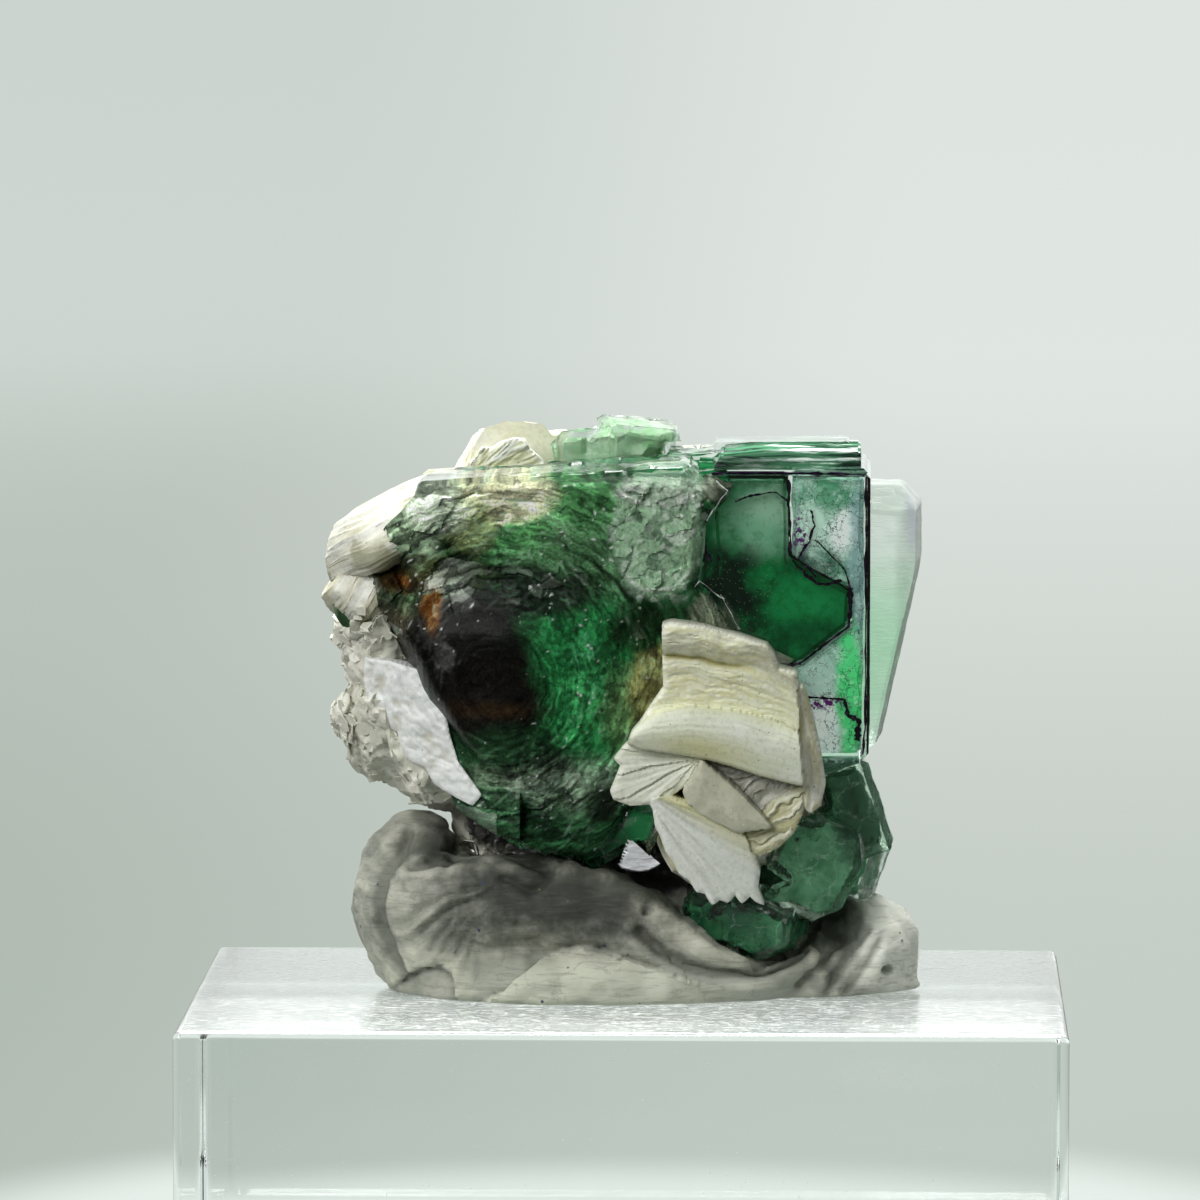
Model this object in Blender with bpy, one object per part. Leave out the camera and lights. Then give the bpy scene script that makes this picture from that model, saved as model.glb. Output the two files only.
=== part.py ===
"""Phantom fluorite on muscovite, pressed into mineral tack on a clear display block.

Sizes are written in millimetres and become metres where a mesh is made. X runs to the
right, Y to the back and Z up, from the middle of the block's underside. Each piece is
one closed solid, and a gap keeps it clear of the pieces that it grows or rests against.
"""

import math

import bmesh
import bpy
from mathutils import Euler, Matrix, Vector, noise

MM = 0.001
GAP = 0.3
WELD = 0.002
NOISE_SEED = 11

# Display block
BLOCK_WIDTH = 76.2
BLOCK_DEPTH = 50.8
BLOCK_HEIGHT = 25.4
BLOCK_EDGE = 0.8

# Main fluorite: the clear cube on the right and the broken crystal on the left
CUBE_LEFT = 2.0
CUBE_RIGHT = 21.1
CUBE_FRONT = -8.0
CUBE_BACK = 9.0
CUBE_BOTTOM = 46.5
CUBE_TOP = 71.5
CUBE_EDGE = 0.35
# Growth ledges on its top: rise, front, left and right of each, from the lowest up
LEDGES = (
    (0.35, -6.9, 4.0, 20.7),
    (0.60, -4.9, 6.2, 20.2),
    (0.35, -0.6, 3.4, 19.9),
    (0.65, 2.6, 7.4, 19.2),
)
LEDGE_BACK = 8.6
BROKEN_CENTRE = (-5.0, -3.0, 60.9)
BROKEN_SIZE = (27.0, 13.0, 22.0)
BROKEN_LEAN = 4.0
DOME_CENTRE = (-8.4, -1.8, 53.0)
DOME_RADII = (15.0, 10.2, 15.2)

# The height at which the specimen stands in the tack
SPECIMEN_FOOT = 30.5

# Rough lumps are thinned to this many faces after their neighbours are cut out of them,
# with a wider gap that leaves room for it
MATRIX_FACES = 2500
TACK_FACES = 1900
THINNED_GAP = 0.45

COLOURS = {
    "clear_acrylic": (0.86, 0.90, 0.90),
    "fluorite_green": (0.10, 0.42, 0.20),
    "fluorite_pale": (0.55, 0.80, 0.62),
    "muscovite_cream": (0.80, 0.77, 0.60),
    "muscovite_white": (0.86, 0.85, 0.80),
    "mica_silver": (0.70, 0.71, 0.72),
    "putty_grey": (0.50, 0.49, 0.43),
}


def finish_of(name, roughness, transmission=0.0, ior=1.45):
    """The plain material of one mineral or made piece."""
    material = bpy.data.materials.new(name)
    material.use_nodes = True
    shader = material.node_tree.nodes["Principled BSDF"]
    shader.inputs["Base Color"].default_value = (*COLOURS[name], 1.0)
    shader.inputs["Roughness"].default_value = roughness
    shader.inputs["Metallic"].default_value = 0.0
    shader.inputs["Transmission Weight"].default_value = transmission
    shader.inputs["IOR"].default_value = ior
    return material


def mm(point):
    return Vector(point) * MM


def add_object(name, bm):
    """An object at the origin that holds the shape of bm."""
    bmesh.ops.recalc_face_normals(bm, faces=bm.faces[:])
    mesh = bpy.data.meshes.new(name)
    bm.to_mesh(mesh)
    bm.free()
    made = bpy.data.objects.new(name, mesh)
    bpy.context.collection.objects.link(made)
    return made


def bake(made):
    """Applies the object's modifiers to its mesh."""
    graph = bpy.context.evaluated_depsgraph_get()
    mesh = bpy.data.meshes.new_from_object(made.evaluated_get(graph))
    made.modifiers.clear()
    made.data = mesh
    return made


def clean(made):
    """Welds points that all but touch, unless that would open or pinch the skin."""
    bm = bmesh.new()
    bm.from_mesh(made.data)
    bmesh.ops.remove_doubles(bm, verts=bm.verts[:], dist=WELD * MM)
    bmesh.ops.dissolve_degenerate(bm, edges=bm.edges[:], dist=WELD * MM)
    bmesh.ops.triangulate(bm, faces=bm.faces[:])
    if all(edge.is_manifold for edge in bm.edges):
        bm.to_mesh(made.data)
    bm.free()
    return made


def boolean(made, other, operation, solver="MANIFOLD"):
    """Cuts or joins made with other, which is then removed.

    Crystals with flat faces take the EXACT solver. It leaves open edges where stacked
    mica sheets and rough lumps cross, so those take MANIFOLD, whose results are closed."""
    step = made.modifiers.new("Boolean", "BOOLEAN")
    step.object = other
    step.operation = operation
    step.solver = solver
    step.use_self = True
    bake(made)
    bpy.data.objects.remove(other, do_unlink=True)
    return made


def join(name, parts, solver="MANIFOLD"):
    """One solid from solids that overlap."""
    whole = parts[0]
    whole.name = name
    for part in parts[1:]:
        boolean(whole, part, "UNION", solver)
    return whole


def keep_largest(made):
    """Leaves only the largest connected body."""
    clean(made)
    bm = bmesh.new()
    bm.from_mesh(made.data)
    left = set(bm.verts)
    bodies = []
    while left:
        reached = [left.pop()]
        body = set(reached)
        while reached:
            for edge in reached.pop().link_edges:
                for vert in edge.verts:
                    if vert not in body:
                        body.add(vert)
                        reached.append(vert)
        left -= body
        bodies.append(body)
    bodies.sort(key=len, reverse=True)
    loose = [vert for body in bodies[1:] for vert in body]
    bmesh.ops.delete(bm, geom=loose, context="VERTS")
    bm.to_mesh(made.data)
    bm.free()
    return made


def carve(made, cutters):
    """Cuts copies of the neighbours' grown forms out of a piece, so that a gap is left."""
    for cutter in cutters:
        spare = cutter.copy()
        spare.data = cutter.data.copy()
        bpy.context.collection.objects.link(spare)
        boolean(made, spare, "DIFFERENCE")
    return keep_largest(made)


def facet(name, planes, reach=60.0):
    """A convex crystal: all that lies behind planes given as (point, outward normal)."""
    bm = bmesh.new()
    middle = sum((Vector(point) for point, _ in planes), Vector()) / len(planes)
    bmesh.ops.create_cube(bm, size=2 * reach * MM, matrix=Matrix.Translation(middle * MM))
    for point, normal in planes:
        geometry = bm.verts[:] + bm.edges[:] + bm.faces[:]
        bmesh.ops.bisect_plane(
            bm, geom=geometry, plane_co=mm(point), plane_no=normal, clear_outer=True, dist=1e-7
        )
        rim = [edge for edge in bm.edges if edge.is_boundary]
        bmesh.ops.holes_fill(bm, edges=rim, sides=0)
    return add_object(name, bm)


def cube_crystal(name, centre, size, turn=(0, 0, 0), cuts=(), grow=0.0, edge=0.0):
    """A turned cubic crystal. Each cut trims it across a direction, at a share of its
    half size from the middle."""
    rotation = Euler([math.radians(angle) for angle in turn]).to_matrix()
    centre = Vector(centre)
    half = Vector(size) / 2
    planes = []
    for axis in range(3):
        for side in (-1, 1):
            out = Vector((0, 0, 0))
            out[axis] = side
            planes.append((centre + rotation @ (out * (half[axis] + grow)), rotation @ out))
    for direction, share in cuts:
        out = Vector(direction).normalized()
        reach = sum(abs(out[axis]) * half[axis] for axis in range(3)) * share
        planes.append((centre + rotation @ (out * (reach + grow)), rotation @ out))
    made = facet(name, planes)
    if edge:
        bm = bmesh.new()
        bm.from_mesh(made.data)
        bmesh.ops.bevel(
            bm, geom=bm.edges[:], offset=edge * MM, segments=1, affect="EDGES", clamp_overlap=True
        )
        bm.to_mesh(made.data)
        bm.free()
    return made


def wobble(point, scale, amount, seed=0.0):
    """A smooth push that changes over scale millimetres."""
    at = Vector(point) / (scale * MM) + Vector((seed, seed * 0.7, -seed * 1.3))
    return noise.noise_vector(at) * amount * MM


def ellipsoid(name, centre, radii, turn=(0, 0, 0), grow=0.0, detail=3, rough=(0.0, 1.0)):
    """A lump, with its skin pushed by rough = (amount, scale)."""
    bm = bmesh.new()
    bmesh.ops.create_icosphere(bm, subdivisions=detail, radius=1.0)
    rotation = Euler([math.radians(angle) for angle in turn]).to_matrix()
    spread = Vector(radii) + Vector((grow, grow, grow))
    amount, scale = rough
    for vert in bm.verts:
        vert.co = mm(Vector(centre) + rotation @ Vector(a * b for a, b in zip(vert.co, spread)))
        if amount:
            vert.co += wobble(vert.co, scale, amount)
    return add_object(name, bm)


def shear(made, planes, grow=0.0):
    """Breaks a solid off flat along planes given as (point, outward normal)."""
    bm = bmesh.new()
    bm.from_mesh(made.data)
    for point, normal in planes:
        out = Vector(normal).normalized()
        geometry = bm.verts[:] + bm.edges[:] + bm.faces[:]
        bmesh.ops.bisect_plane(
            bm, geom=geometry, plane_co=mm(Vector(point) + out * grow), plane_no=out,
            clear_outer=True, dist=1e-6,
        )
        rim = [edge for edge in bm.edges if edge.is_boundary]
        bmesh.ops.holes_fill(bm, edges=rim, sides=0)
    bmesh.ops.triangulate(bm, faces=bm.faces[:])
    bm.to_mesh(made.data)
    bm.free()
    return made


def roll(points, radii, steps=14):
    """Overlapping balls along a smooth route, for putty that was rolled and pressed."""
    balls = []
    last = len(points) - 1
    for step in range(steps):
        share = step * last / (steps - 1)
        at = min(int(share), last - 1)
        blend = share - at
        blend = blend * blend * (3 - 2 * blend)
        centre = Vector(points[at]).lerp(Vector(points[at + 1]), blend)
        radius = radii[at] + (radii[at + 1] - radii[at]) * blend
        balls.append((tuple(centre), (radius, radius, radius), (0, 0, 0)))
    return balls


def lump(name, masses, plates=(), grow=0.0, voxel=0.6, rough=(0.5, 3.0), faces=2000, floor=None):
    """Ellipsoids and plates run together into one mass with an uneven skin."""
    bm = bmesh.new()
    for centre, radii, turn in masses:
        ball = ellipsoid("ball", centre, radii, turn, grow)
        bm.from_mesh(ball.data)
        bpy.data.objects.remove(ball, do_unlink=True)
    for centre, size, turn in plates:
        plate = cube_crystal("plate", centre, size, turn, grow=grow)
        bm.from_mesh(plate.data)
        bpy.data.objects.remove(plate, do_unlink=True)
    mesh = bpy.data.meshes.new(name)
    bm.to_mesh(mesh)
    bm.free()
    made = bpy.data.objects.new(name, mesh)
    bpy.context.collection.objects.link(made)
    step = made.modifiers.new("Remesh", "REMESH")
    step.mode = "VOXEL"
    step.voxel_size = voxel * MM
    bake(made)
    amount, scale = rough
    for vert in made.data.vertices:
        vert.co += wobble(vert.co, scale, amount) + wobble(vert.co, scale * 0.4, amount * 0.4)
    step = made.modifiers.new("Smooth", "SMOOTH")
    step.iterations = 2
    step.factor = 0.5
    step = made.modifiers.new("Decimate", "DECIMATE")
    step.ratio = min(1.0, faces / (2 * len(made.data.polygons)))
    bake(made)
    if floor is not None:
        shear(made, (((0, 0, floor), (0, 0, -1)),))
    return keep_largest(made)


def thin_out(made, faces):
    """Fewer, larger faces on a lump whose neighbours were cut out of it."""
    step = made.modifiers.new("Decimate", "DECIMATE")
    step.ratio = min(1.0, faces / len(made.data.polygons))
    bake(made)
    return keep_largest(made)


def sheet_outline(width, depth, corners, seed, points=16):
    """A mica sheet seen from above: six rounded sides with an uneven rim."""
    outline = []
    for step in range(points):
        angle = 2 * math.pi * step / points
        side = math.cos(math.pi / corners) / math.cos(
            (angle % (2 * math.pi / corners)) - math.pi / corners
        )
        wave = 1 + 0.05 * noise.noise((math.cos(angle) * 1.7, math.sin(angle) * 1.7, seed))
        reach = (0.35 * side + 0.65) * wave
        outline.append(Vector((math.cos(angle) * reach * width / 2,
                               math.sin(angle) * reach * depth / 2, 0)))
    return outline


def book(name, centre, size, turn, layers, bend=(0.0, 0.0), taper=0.0, slide=(0.0, 0.0),
         step=0.35, seed=0.0, corners=6, grow=0.0):
    """A mica book: stacked sheets whose rims step in and out, lofted as one solid.

    bend bows the sheets along their width and depth, taper narrows the stack towards its
    top, and slide shifts each sheet a little further than the one below."""
    width, depth, height = size
    bm = bmesh.new()
    rings = []
    thickness = height / layers
    for layer in range(layers):
        inset = step * (0.5 + 0.5 * noise.noise((layer * 1.37, seed, 4.2)))
        inset += step * (layer % 2)
        narrow = 1 - taper * layer / layers
        outline = sheet_outline(width * narrow, depth * narrow, corners, seed + layer * 0.35)
        shift = Vector((slide[0], slide[1], 0)) * (layer - layers / 2)
        for end in (0, 1):
            level = (layer + end) * thickness - height / 2
            if layer == 0 and end == 0:
                level -= grow
            if layer == layers - 1 and end == 1:
                level += grow
            ring = []
            for point in outline:
                reach = point.length
                place = point * ((reach - inset + grow) / reach) + shift
                place.z = level - bend[0] * place.x ** 2 - bend[1] * place.y ** 2
                ring.append(place)
            rings.append(ring)
    rotation = Euler([math.radians(angle) for angle in turn]).to_matrix()
    rows = []
    for ring in rings:
        rows.append([bm.verts.new(mm(Vector(centre) + rotation @ place)) for place in ring])
    count = len(rows[0])
    for lower, upper in zip(rows, rows[1:]):
        for at in range(count):
            after = (at + 1) % count
            bm.faces.new((lower[at], lower[after], upper[after], upper[at]))
    for row, flip in ((rows[0], True), (rows[-1], False)):
        middle = sum((vert.co for vert in row), Vector()) / count
        tip = bm.verts.new(middle)
        for at in range(count):
            pair = (row[at], row[(at + 1) % count])
            bm.faces.new((*(reversed(pair) if flip else pair), tip))
    return add_object(name, bm)


def display_block():
    """The clear cast slab that the specimen stands on."""
    bm = bmesh.new()
    bmesh.ops.create_cube(bm, size=1.0)
    for vert in bm.verts:
        vert.co = mm((vert.co.x * BLOCK_WIDTH, vert.co.y * BLOCK_DEPTH,
                      (vert.co.z + 0.5) * BLOCK_HEIGHT))
    made = add_object("display_block", bm)
    step = made.modifiers.new("Bevel", "BEVEL")
    step.width = BLOCK_EDGE * MM
    step.segments = 3
    step.limit_method = "ANGLE"
    return bake(made)


def clear_cube(grow=0.0):
    """The clear cube, whose side face leans in a little towards its foot."""
    centre = ((CUBE_LEFT + CUBE_RIGHT) / 2, (CUBE_FRONT + CUBE_BACK) / 2,
              (CUBE_BOTTOM + CUBE_TOP) / 2)
    size = (CUBE_RIGHT - CUBE_LEFT, CUBE_BACK - CUBE_FRONT, CUBE_TOP - CUBE_BOTTOM)
    cuts = (((1, 0, -0.05), 0.985), ((1, 0, -1), 0.96), ((1, 0, 1), 0.985), ((1, -1, 0), 0.985))
    return cube_crystal("cube", centre, size, cuts=cuts, grow=grow, edge=CUBE_EDGE)


def top_ledges(grow=0.0):
    """Growth ledges that climb over the cube's top face to a crest at its back."""
    ledges = []
    top = CUBE_TOP
    for rise, front, left, right in LEDGES:
        bottom = top - 1.5
        top += rise
        centre = ((left + right) / 2, (front + LEDGE_BACK) / 2, (bottom + top) / 2)
        size = (right - left, LEDGE_BACK - front, top - bottom)
        cuts = (((1, -1, 0), 0.95), ((1, 0, 0.9), 0.975), ((-1, 0, 1.2), 0.985))
        ledges.append(cube_crystal("ledge", centre, size, (0, -0.7, 0), cuts, grow))
    return ledges


def broken_crystal(grow=0.0):
    """The upper left crystal: a cube whose left side and foot were broken away."""
    cuts = (
        ((-1, 0, 0.42), 0.93),
        ((-1, -0.45, 0), 0.90),
        ((-1, -0.5, -0.9), 0.80),
        ((-0.25, -0.35, -1), 0.86),
        ((1, 0, 1), 0.90),
        ((1, -0.8, -0.25), 0.90),
        ((0.2, -0.4, 1), 0.975),
    )
    return cube_crystal("broken", BROKEN_CENTRE, BROKEN_SIZE, (0, -BROKEN_LEAN, 0), cuts,
                        grow, edge=0.0 if grow else 0.3)


def dome(grow=0.0):
    """The rounded, glassy break below it, sheared off along its lower left."""
    made = ellipsoid("dome", DOME_CENTRE, DOME_RADII, (0, 0, 0), grow, 3, (1.2, 6.0))
    shears = (
        ((-18.6, -2.0, 52.6), (-0.72, -0.12, -0.66)),
        ((-14.0, -2.0, 46.0), (-0.86, -0.20, -0.46)),
        ((-9.6, -2.0, 41.0), (-0.60, -0.20, -0.74)),
        ((-22.2, -2.0, 59.0), (-0.96, -0.16, 0.10)),
        ((-3.0, -6.0, 38.6), (0.10, -0.30, -0.95)),
    )
    return shear(made, shears, grow)


def foot_crystals(grow=0.0):
    """Small cubes that grow from the dome's underside."""
    cubes = (
        ((-6.0, -6.2, 41.6), (6.6, 6.0, 5.4), (24, 14, 18)),
        ((-1.8, -5.6, 40.4), (6.0, 6.5, 5.2), (-14, -22, 32)),
        ((1.6, -6.4, 42.6), (5.6, 5.6, 5.0), (12, 30, -15)),
        ((-0.6, -7.4, 47.4), (7.0, 4.5, 6.4), (-22, -28, 12)),
    )
    return [cube_crystal("foot", *spec, grow=grow) for spec in cubes]


def main_parts(grow=0.0):
    return [clear_cube(grow), *top_ledges(grow), broken_crystal(grow), dome(grow),
            *foot_crystals(grow)]


def fluorite_main():
    """The clear cube, the broken crystal and the dome, grown together."""
    whole = join("fluorite_main", main_parts(), "EXACT")
    scoops = (
        ((-21.6, -11.2, 63.4), (5.6, 5.2, 7.0), (0, -24, 0)),
        ((4.4, -12.8, 57.0), (7.4, 5.6, 4.8), (0, 4, 0)),
        ((2.2, -13.6, 69.4), (5.2, 4.8, 2.4), (0, 4, 0)),
        ((-5.0, -15.6, 61.5), (9.0, 5.0, 2.6), (0, -10, 0)),
    )
    for centre, radii, turn in scoops:
        scoop = ellipsoid("scoop", centre, radii, turn, detail=3)
        boolean(whole, scoop, "DIFFERENCE", "EXACT")
    return keep_largest(whole)


def back_crystal(grow=0.0):
    """The pale tapering cube behind the right side."""
    cuts = (((1, 0, -0.22), 0.64), ((0.1, -0.38, 1), 0.84), ((1, 0, 1), 0.91),
            ((1, -1, 0), 0.9), ((-0.6, 0.2, -1), 0.8))
    return cube_crystal("back_crystal", (18.2, 15.0, 57.2), (14.4, 10.6, 23.0), (0, 0, -4),
                        cuts, grow, edge=0.0 if grow else 0.3)


def top_crystals(grow=0.0):
    """The light green crystals that show over the broken crystal's top edge."""
    cubes = (
        ((0.2, 8.9, 69.6), (6.6, 6.4, 10.4), (4, 6, 14),
         (((1, -0.3, 0.8), 0.9), ((-1, 0, 1), 0.94))),
        ((-3.4, 8.4, 69.4), (5.6, 5.6, 9.4), (-6, -9, -10), (((-1, -0.2, 1), 0.86),)),
    )
    return [cube_crystal("top", *spec, grow=grow) for spec in cubes]


def lower_crystals(grow=0.0):
    """The three frosted crystals grown together below the cube."""
    cubes = (
        ((14.9, -4.6, 37.9), (8.2, 8.6, 8.8), (8, 24, 24),
         (((1, -1, 0.6), 0.84), ((-1, -1, -1), 0.78), ((1, -0.6, -1), 0.80),
          ((-0.2, -1, 1), 0.88), ((1, 0, 1), 0.84))),
        ((19.5, -0.6, 41.9), (4.6, 7.0, 8.4), (4, -19, 10),
         (((1, -1, 0), 0.86), ((1, 0, -1), 0.90), ((-1, -1, 0), 0.88), ((1, 0, 1), 0.92))),
        ((18.9, 1.4, 36.6), (5.6, 7.0, 4.8), (-6, 18, -16), (((1, -1, -1), 0.84),)),
    )
    return [cube_crystal("lower", *spec, grow=grow) for spec in cubes]


def bottom_crystal(grow=0.0):
    """The deep green crystal that is pressed into the tack."""
    cuts = (((-1, -1, -0.6), 0.84), ((1, -1, -0.3), 0.88), ((0.2, -1, 1), 0.86),
            ((-1, 0, -1), 0.82), ((1, -0.4, -1), 0.76))
    return cube_crystal("bottom_crystal", (10.5, -4.8, 33.0), (9.8, 8.6, 5.4), (10, 12, -14),
                        cuts, grow, edge=0.0 if grow else 0.25)


def fan_books(grow=0.0):
    """The splayed muscovite books in front: the banded upper stack, the broad bowed petal,
    the wedge below it, the fibrous lower fan and the crumpled right rim."""
    return [
        book("fan", (7.5, -8.4, 55.4), (12.0, 9.4, 5.6), (10, 20, 0), 4, (0.010, 0.014),
             slide=(0.3, -0.2), step=0.25, seed=1.0, corners=4, grow=grow),
        book("fan", (8.1, -8.4, 50.4), (16.2, 10.6, 6.8), (14, 14, 4), 3, (0.010, 0.022),
             taper=0.08, step=0.22, seed=2.0, corners=5, grow=grow),
        book("fan", (8.6, -8.0, 44.9), (11.4, 7.6, 4.6), (-26, 26, 0), 3, (0.01, 0.01),
             slide=(0.0, 0.25), step=0.3, seed=3.0, corners=3, grow=grow),
        book("fan", (6.8, -7.6, 38.8), (13.6, 7.4, 7.0), (30, 40, 10), 5, (0.004, 0.02),
             slide=(0.3, -0.35), step=0.4, seed=4.0, corners=4, grow=grow),
        book("fan", (13.9, -7.0, 46.0), (12.4, 7.6, 4.0), (6, 80, 0), 4, (0.010, 0.02),
             slide=(0.0, -0.2), step=0.4, seed=5.0, corners=5, grow=grow),
        book("fan", (1.4, -7.0, 45.0), (9.4, 6.4, 4.2), (22, -28, 8), 3, (0.01, 0.02),
             step=0.35, seed=6.0, corners=4, grow=grow),
    ]


def top_books(grow=0.0):
    """The cream sheets that stand up behind the broken crystal."""
    return [
        book("top_book", (-10.6, 8.0, 67.4), (11.6, 14.0, 3.6), (70, 0, 24), 4, (0.012, 0.006),
             slide=(0.3, 0.5), step=0.45, seed=7.0, grow=grow),
        book("top_book", (-7.2, 11.2, 68.2), (8.6, 11.6, 2.6), (78, -8, -6), 3, (0.01, 0.0),
             step=0.4, seed=8.0, grow=grow),
    ]


def left_books(grow=0.0):
    """The thick white book with soft, rounded rims at the upper left."""
    return [
        book("left_book", (-20.0, 1.6, 66.2), (15.4, 13.0, 5.8), (-4, -25, 8), 4,
             (0.016, 0.012), taper=0.16, step=0.35, seed=9.0, grow=grow),
        book("left_book", (-23.6, 0.6, 60.8), (8.8, 10.4, 5.6), (-4, -58, 6), 3,
             (0.02, 0.015), taper=0.12, step=0.35, seed=10.0, grow=grow),
    ]


def flake(grow=0.0):
    """The bright silver flake in the shadow under the dome."""
    return book("flake", (0.9, -9.0, 38.5), (4.6, 3.4, 0.5), (68, 18, 0), 1, step=0.0,
                seed=11.0, corners=3, grow=grow)


def matrix_lump(grow=0.0, faces=3000):
    """The crumbly muscovite mass behind and below, with a smooth cleaved face."""
    masses = (
        ((-21.4, 2.4, 56.6), (4.8, 7.4, 6.6), (0, 0, 0)),
        ((-21.0, 2.0, 49.6), (5.2, 7.6, 6.4), (0, 10, 0)),
        ((-16.0, 1.6, 46.0), (7.2, 8.6, 4.8), (0, 26, 0)),
        ((-13.0, 7.0, 62.0), (9.0, 6.0, 8.0), (0, 20, 0)),
        ((-6.0, 9.4, 56.0), (11.0, 5.4, 12.0), (0, 0, 0)),
        ((6.0, 12.0, 60.0), (8.0, 4.6, 9.0), (0, 0, 0)),
        ((8.4, 10.6, 48.0), (9.4, 6.6, 8.6), (0, 0, 0)),
        ((-6.4, 4.0, 39.4), (10.2, 8.2, 5.6), (0, 12, 0)),
        ((4.4, 3.4, 38.4), (9.4, 7.6, 6.6), (0, 0, 0)),
        ((9.6, 2.4, 43.4), (8.8, 7.0, 5.4), (0, 0, 0)),
        ((2.0, 3.6, 33.4), (10.4, 6.6, 4.0), (0, 0, 0)),
    )
    plates = (
        ((-18.6, -1.0, 48.2), (9.0, 12.0, 2.2), (0, 52, -14)),
        ((-12.5, -1.4, 43.4), (11.0, 10.0, 1.8), (8, 24, 0)),
        ((-23.2, 3.6, 58.4), (8.6, 9.6, 1.8), (10, -70, 10)),
        ((-9.5, 13.0, 58.0), (12.0, 11.0, 2.0), (74, 0, 12)),
        ((5.5, 16.0, 51.0), (12.0, 13.0, 2.0), (80, 0, -16)),
        ((-2.0, 13.6, 47.0), (13.0, 8.0, 2.2), (40, 10, 0)),
        ((3.0, 14.5, 63.0), (9.5, 10.0, 1.8), (82, 0, 8)),
    )
    return lump("matrix", masses, plates, grow, 0.6, (0.9, 3.2), faces,
                SPECIMEN_FOOT - grow)


def tack_lump():
    """Putty that was rolled, folded and pressed up round the specimen's foot."""
    ground = BLOCK_HEIGHT
    masses = (
        ((-18.4, 2.2, ground + 7.4), (5.9, 9.0, 8.0), (0, 0, 0)),
        ((-3.0, -2.0, ground + 0.6), (18.0, 9.8, 3.0), (0, 0, 0)),
        ((14.0, -0.5, ground + 0.6), (12.0, 6.4, 3.0), (0, 0, 8)),
        ((-15.4, -2.6, ground + 5.6), (6.6, 6.4, 6.6), (0, 8, 0)),
        ((0.0, 3.0, ground + 3.0), (20.0, 10.0, 5.4), (0, 0, 0)),
        ((20.6, 2.2, ground + 3.6), (5.0, 7.2, 4.9), (0, 0, 0)),
        ((16.6, 6.4, ground + 3.6), (7.0, 6.4, 5.2), (0, 0, 0)),
        ((-9.0, 9.6, ground + 4.8), (9.0, 6.0, 6.2), (0, 0, 0)),
        ((7.0, 10.6, ground + 4.0), (10.0, 5.0, 5.6), (0, 0, 0)),
        *roll(((-17, -5.0, ground + 8.6), (-11, -5.6, ground + 8.4), (-5, -6.2, ground + 8.2),
               (1, -7.2, ground + 6.2), (6, -8.0, ground + 3.6), (11, -8.2, ground + 1.9),
               (15.6, -5.8, ground + 3.4)), (4.2, 4.4, 4.2, 4.0, 3.0, 2.0, 1.5), 22),
        *roll(((-14, -6.0, ground + 1.2), (-7, -8.8, ground + 0.6), (0, -9.6, ground + 1.4),
               (8, -7.4, ground + 0.8), (14, -4.4, ground + 0.6), (20, -1.4, ground + 1.2)),
              (3.4, 3.0, 2.6, 2.6, 2.4, 3.2), 22),
    )
    return lump("tack", masses, (), 0.0, 0.6, (0.5, 4.0), 2400, ground + GAP)


def soften(made, angle=40.0):
    """Shades a rounded piece smooth, with its sharp corners kept."""
    made.data.shade_smooth()
    made.data.set_sharp_from_angle(angle=math.radians(angle))


def grown_forms(gap):
    """Every piece that others meet, grown by gap, to be cut out of those others."""
    return {
        "main": join("grown_main", main_parts(gap)),
        "back": back_crystal(gap),
        "top": join("grown_top", top_crystals(gap)),
        "fan": join("grown_fan", fan_books(gap)),
        "cluster": join("grown_cluster", lower_crystals(gap)),
        "bottom": bottom_crystal(gap),
        "sheets": join("grown_sheets", top_books(gap)),
        "left": join("grown_left", left_books(gap)),
        "flake": flake(gap),
        "matrix": matrix_lump(gap),
    }


def clear_of(made, grown, *names):
    """Cuts the named neighbours out of a piece."""
    return carve(made, [grown[name] for name in names])


def remove_all(objects):
    for found in list(objects):
        bpy.data.objects.remove(found, do_unlink=True)


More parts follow.
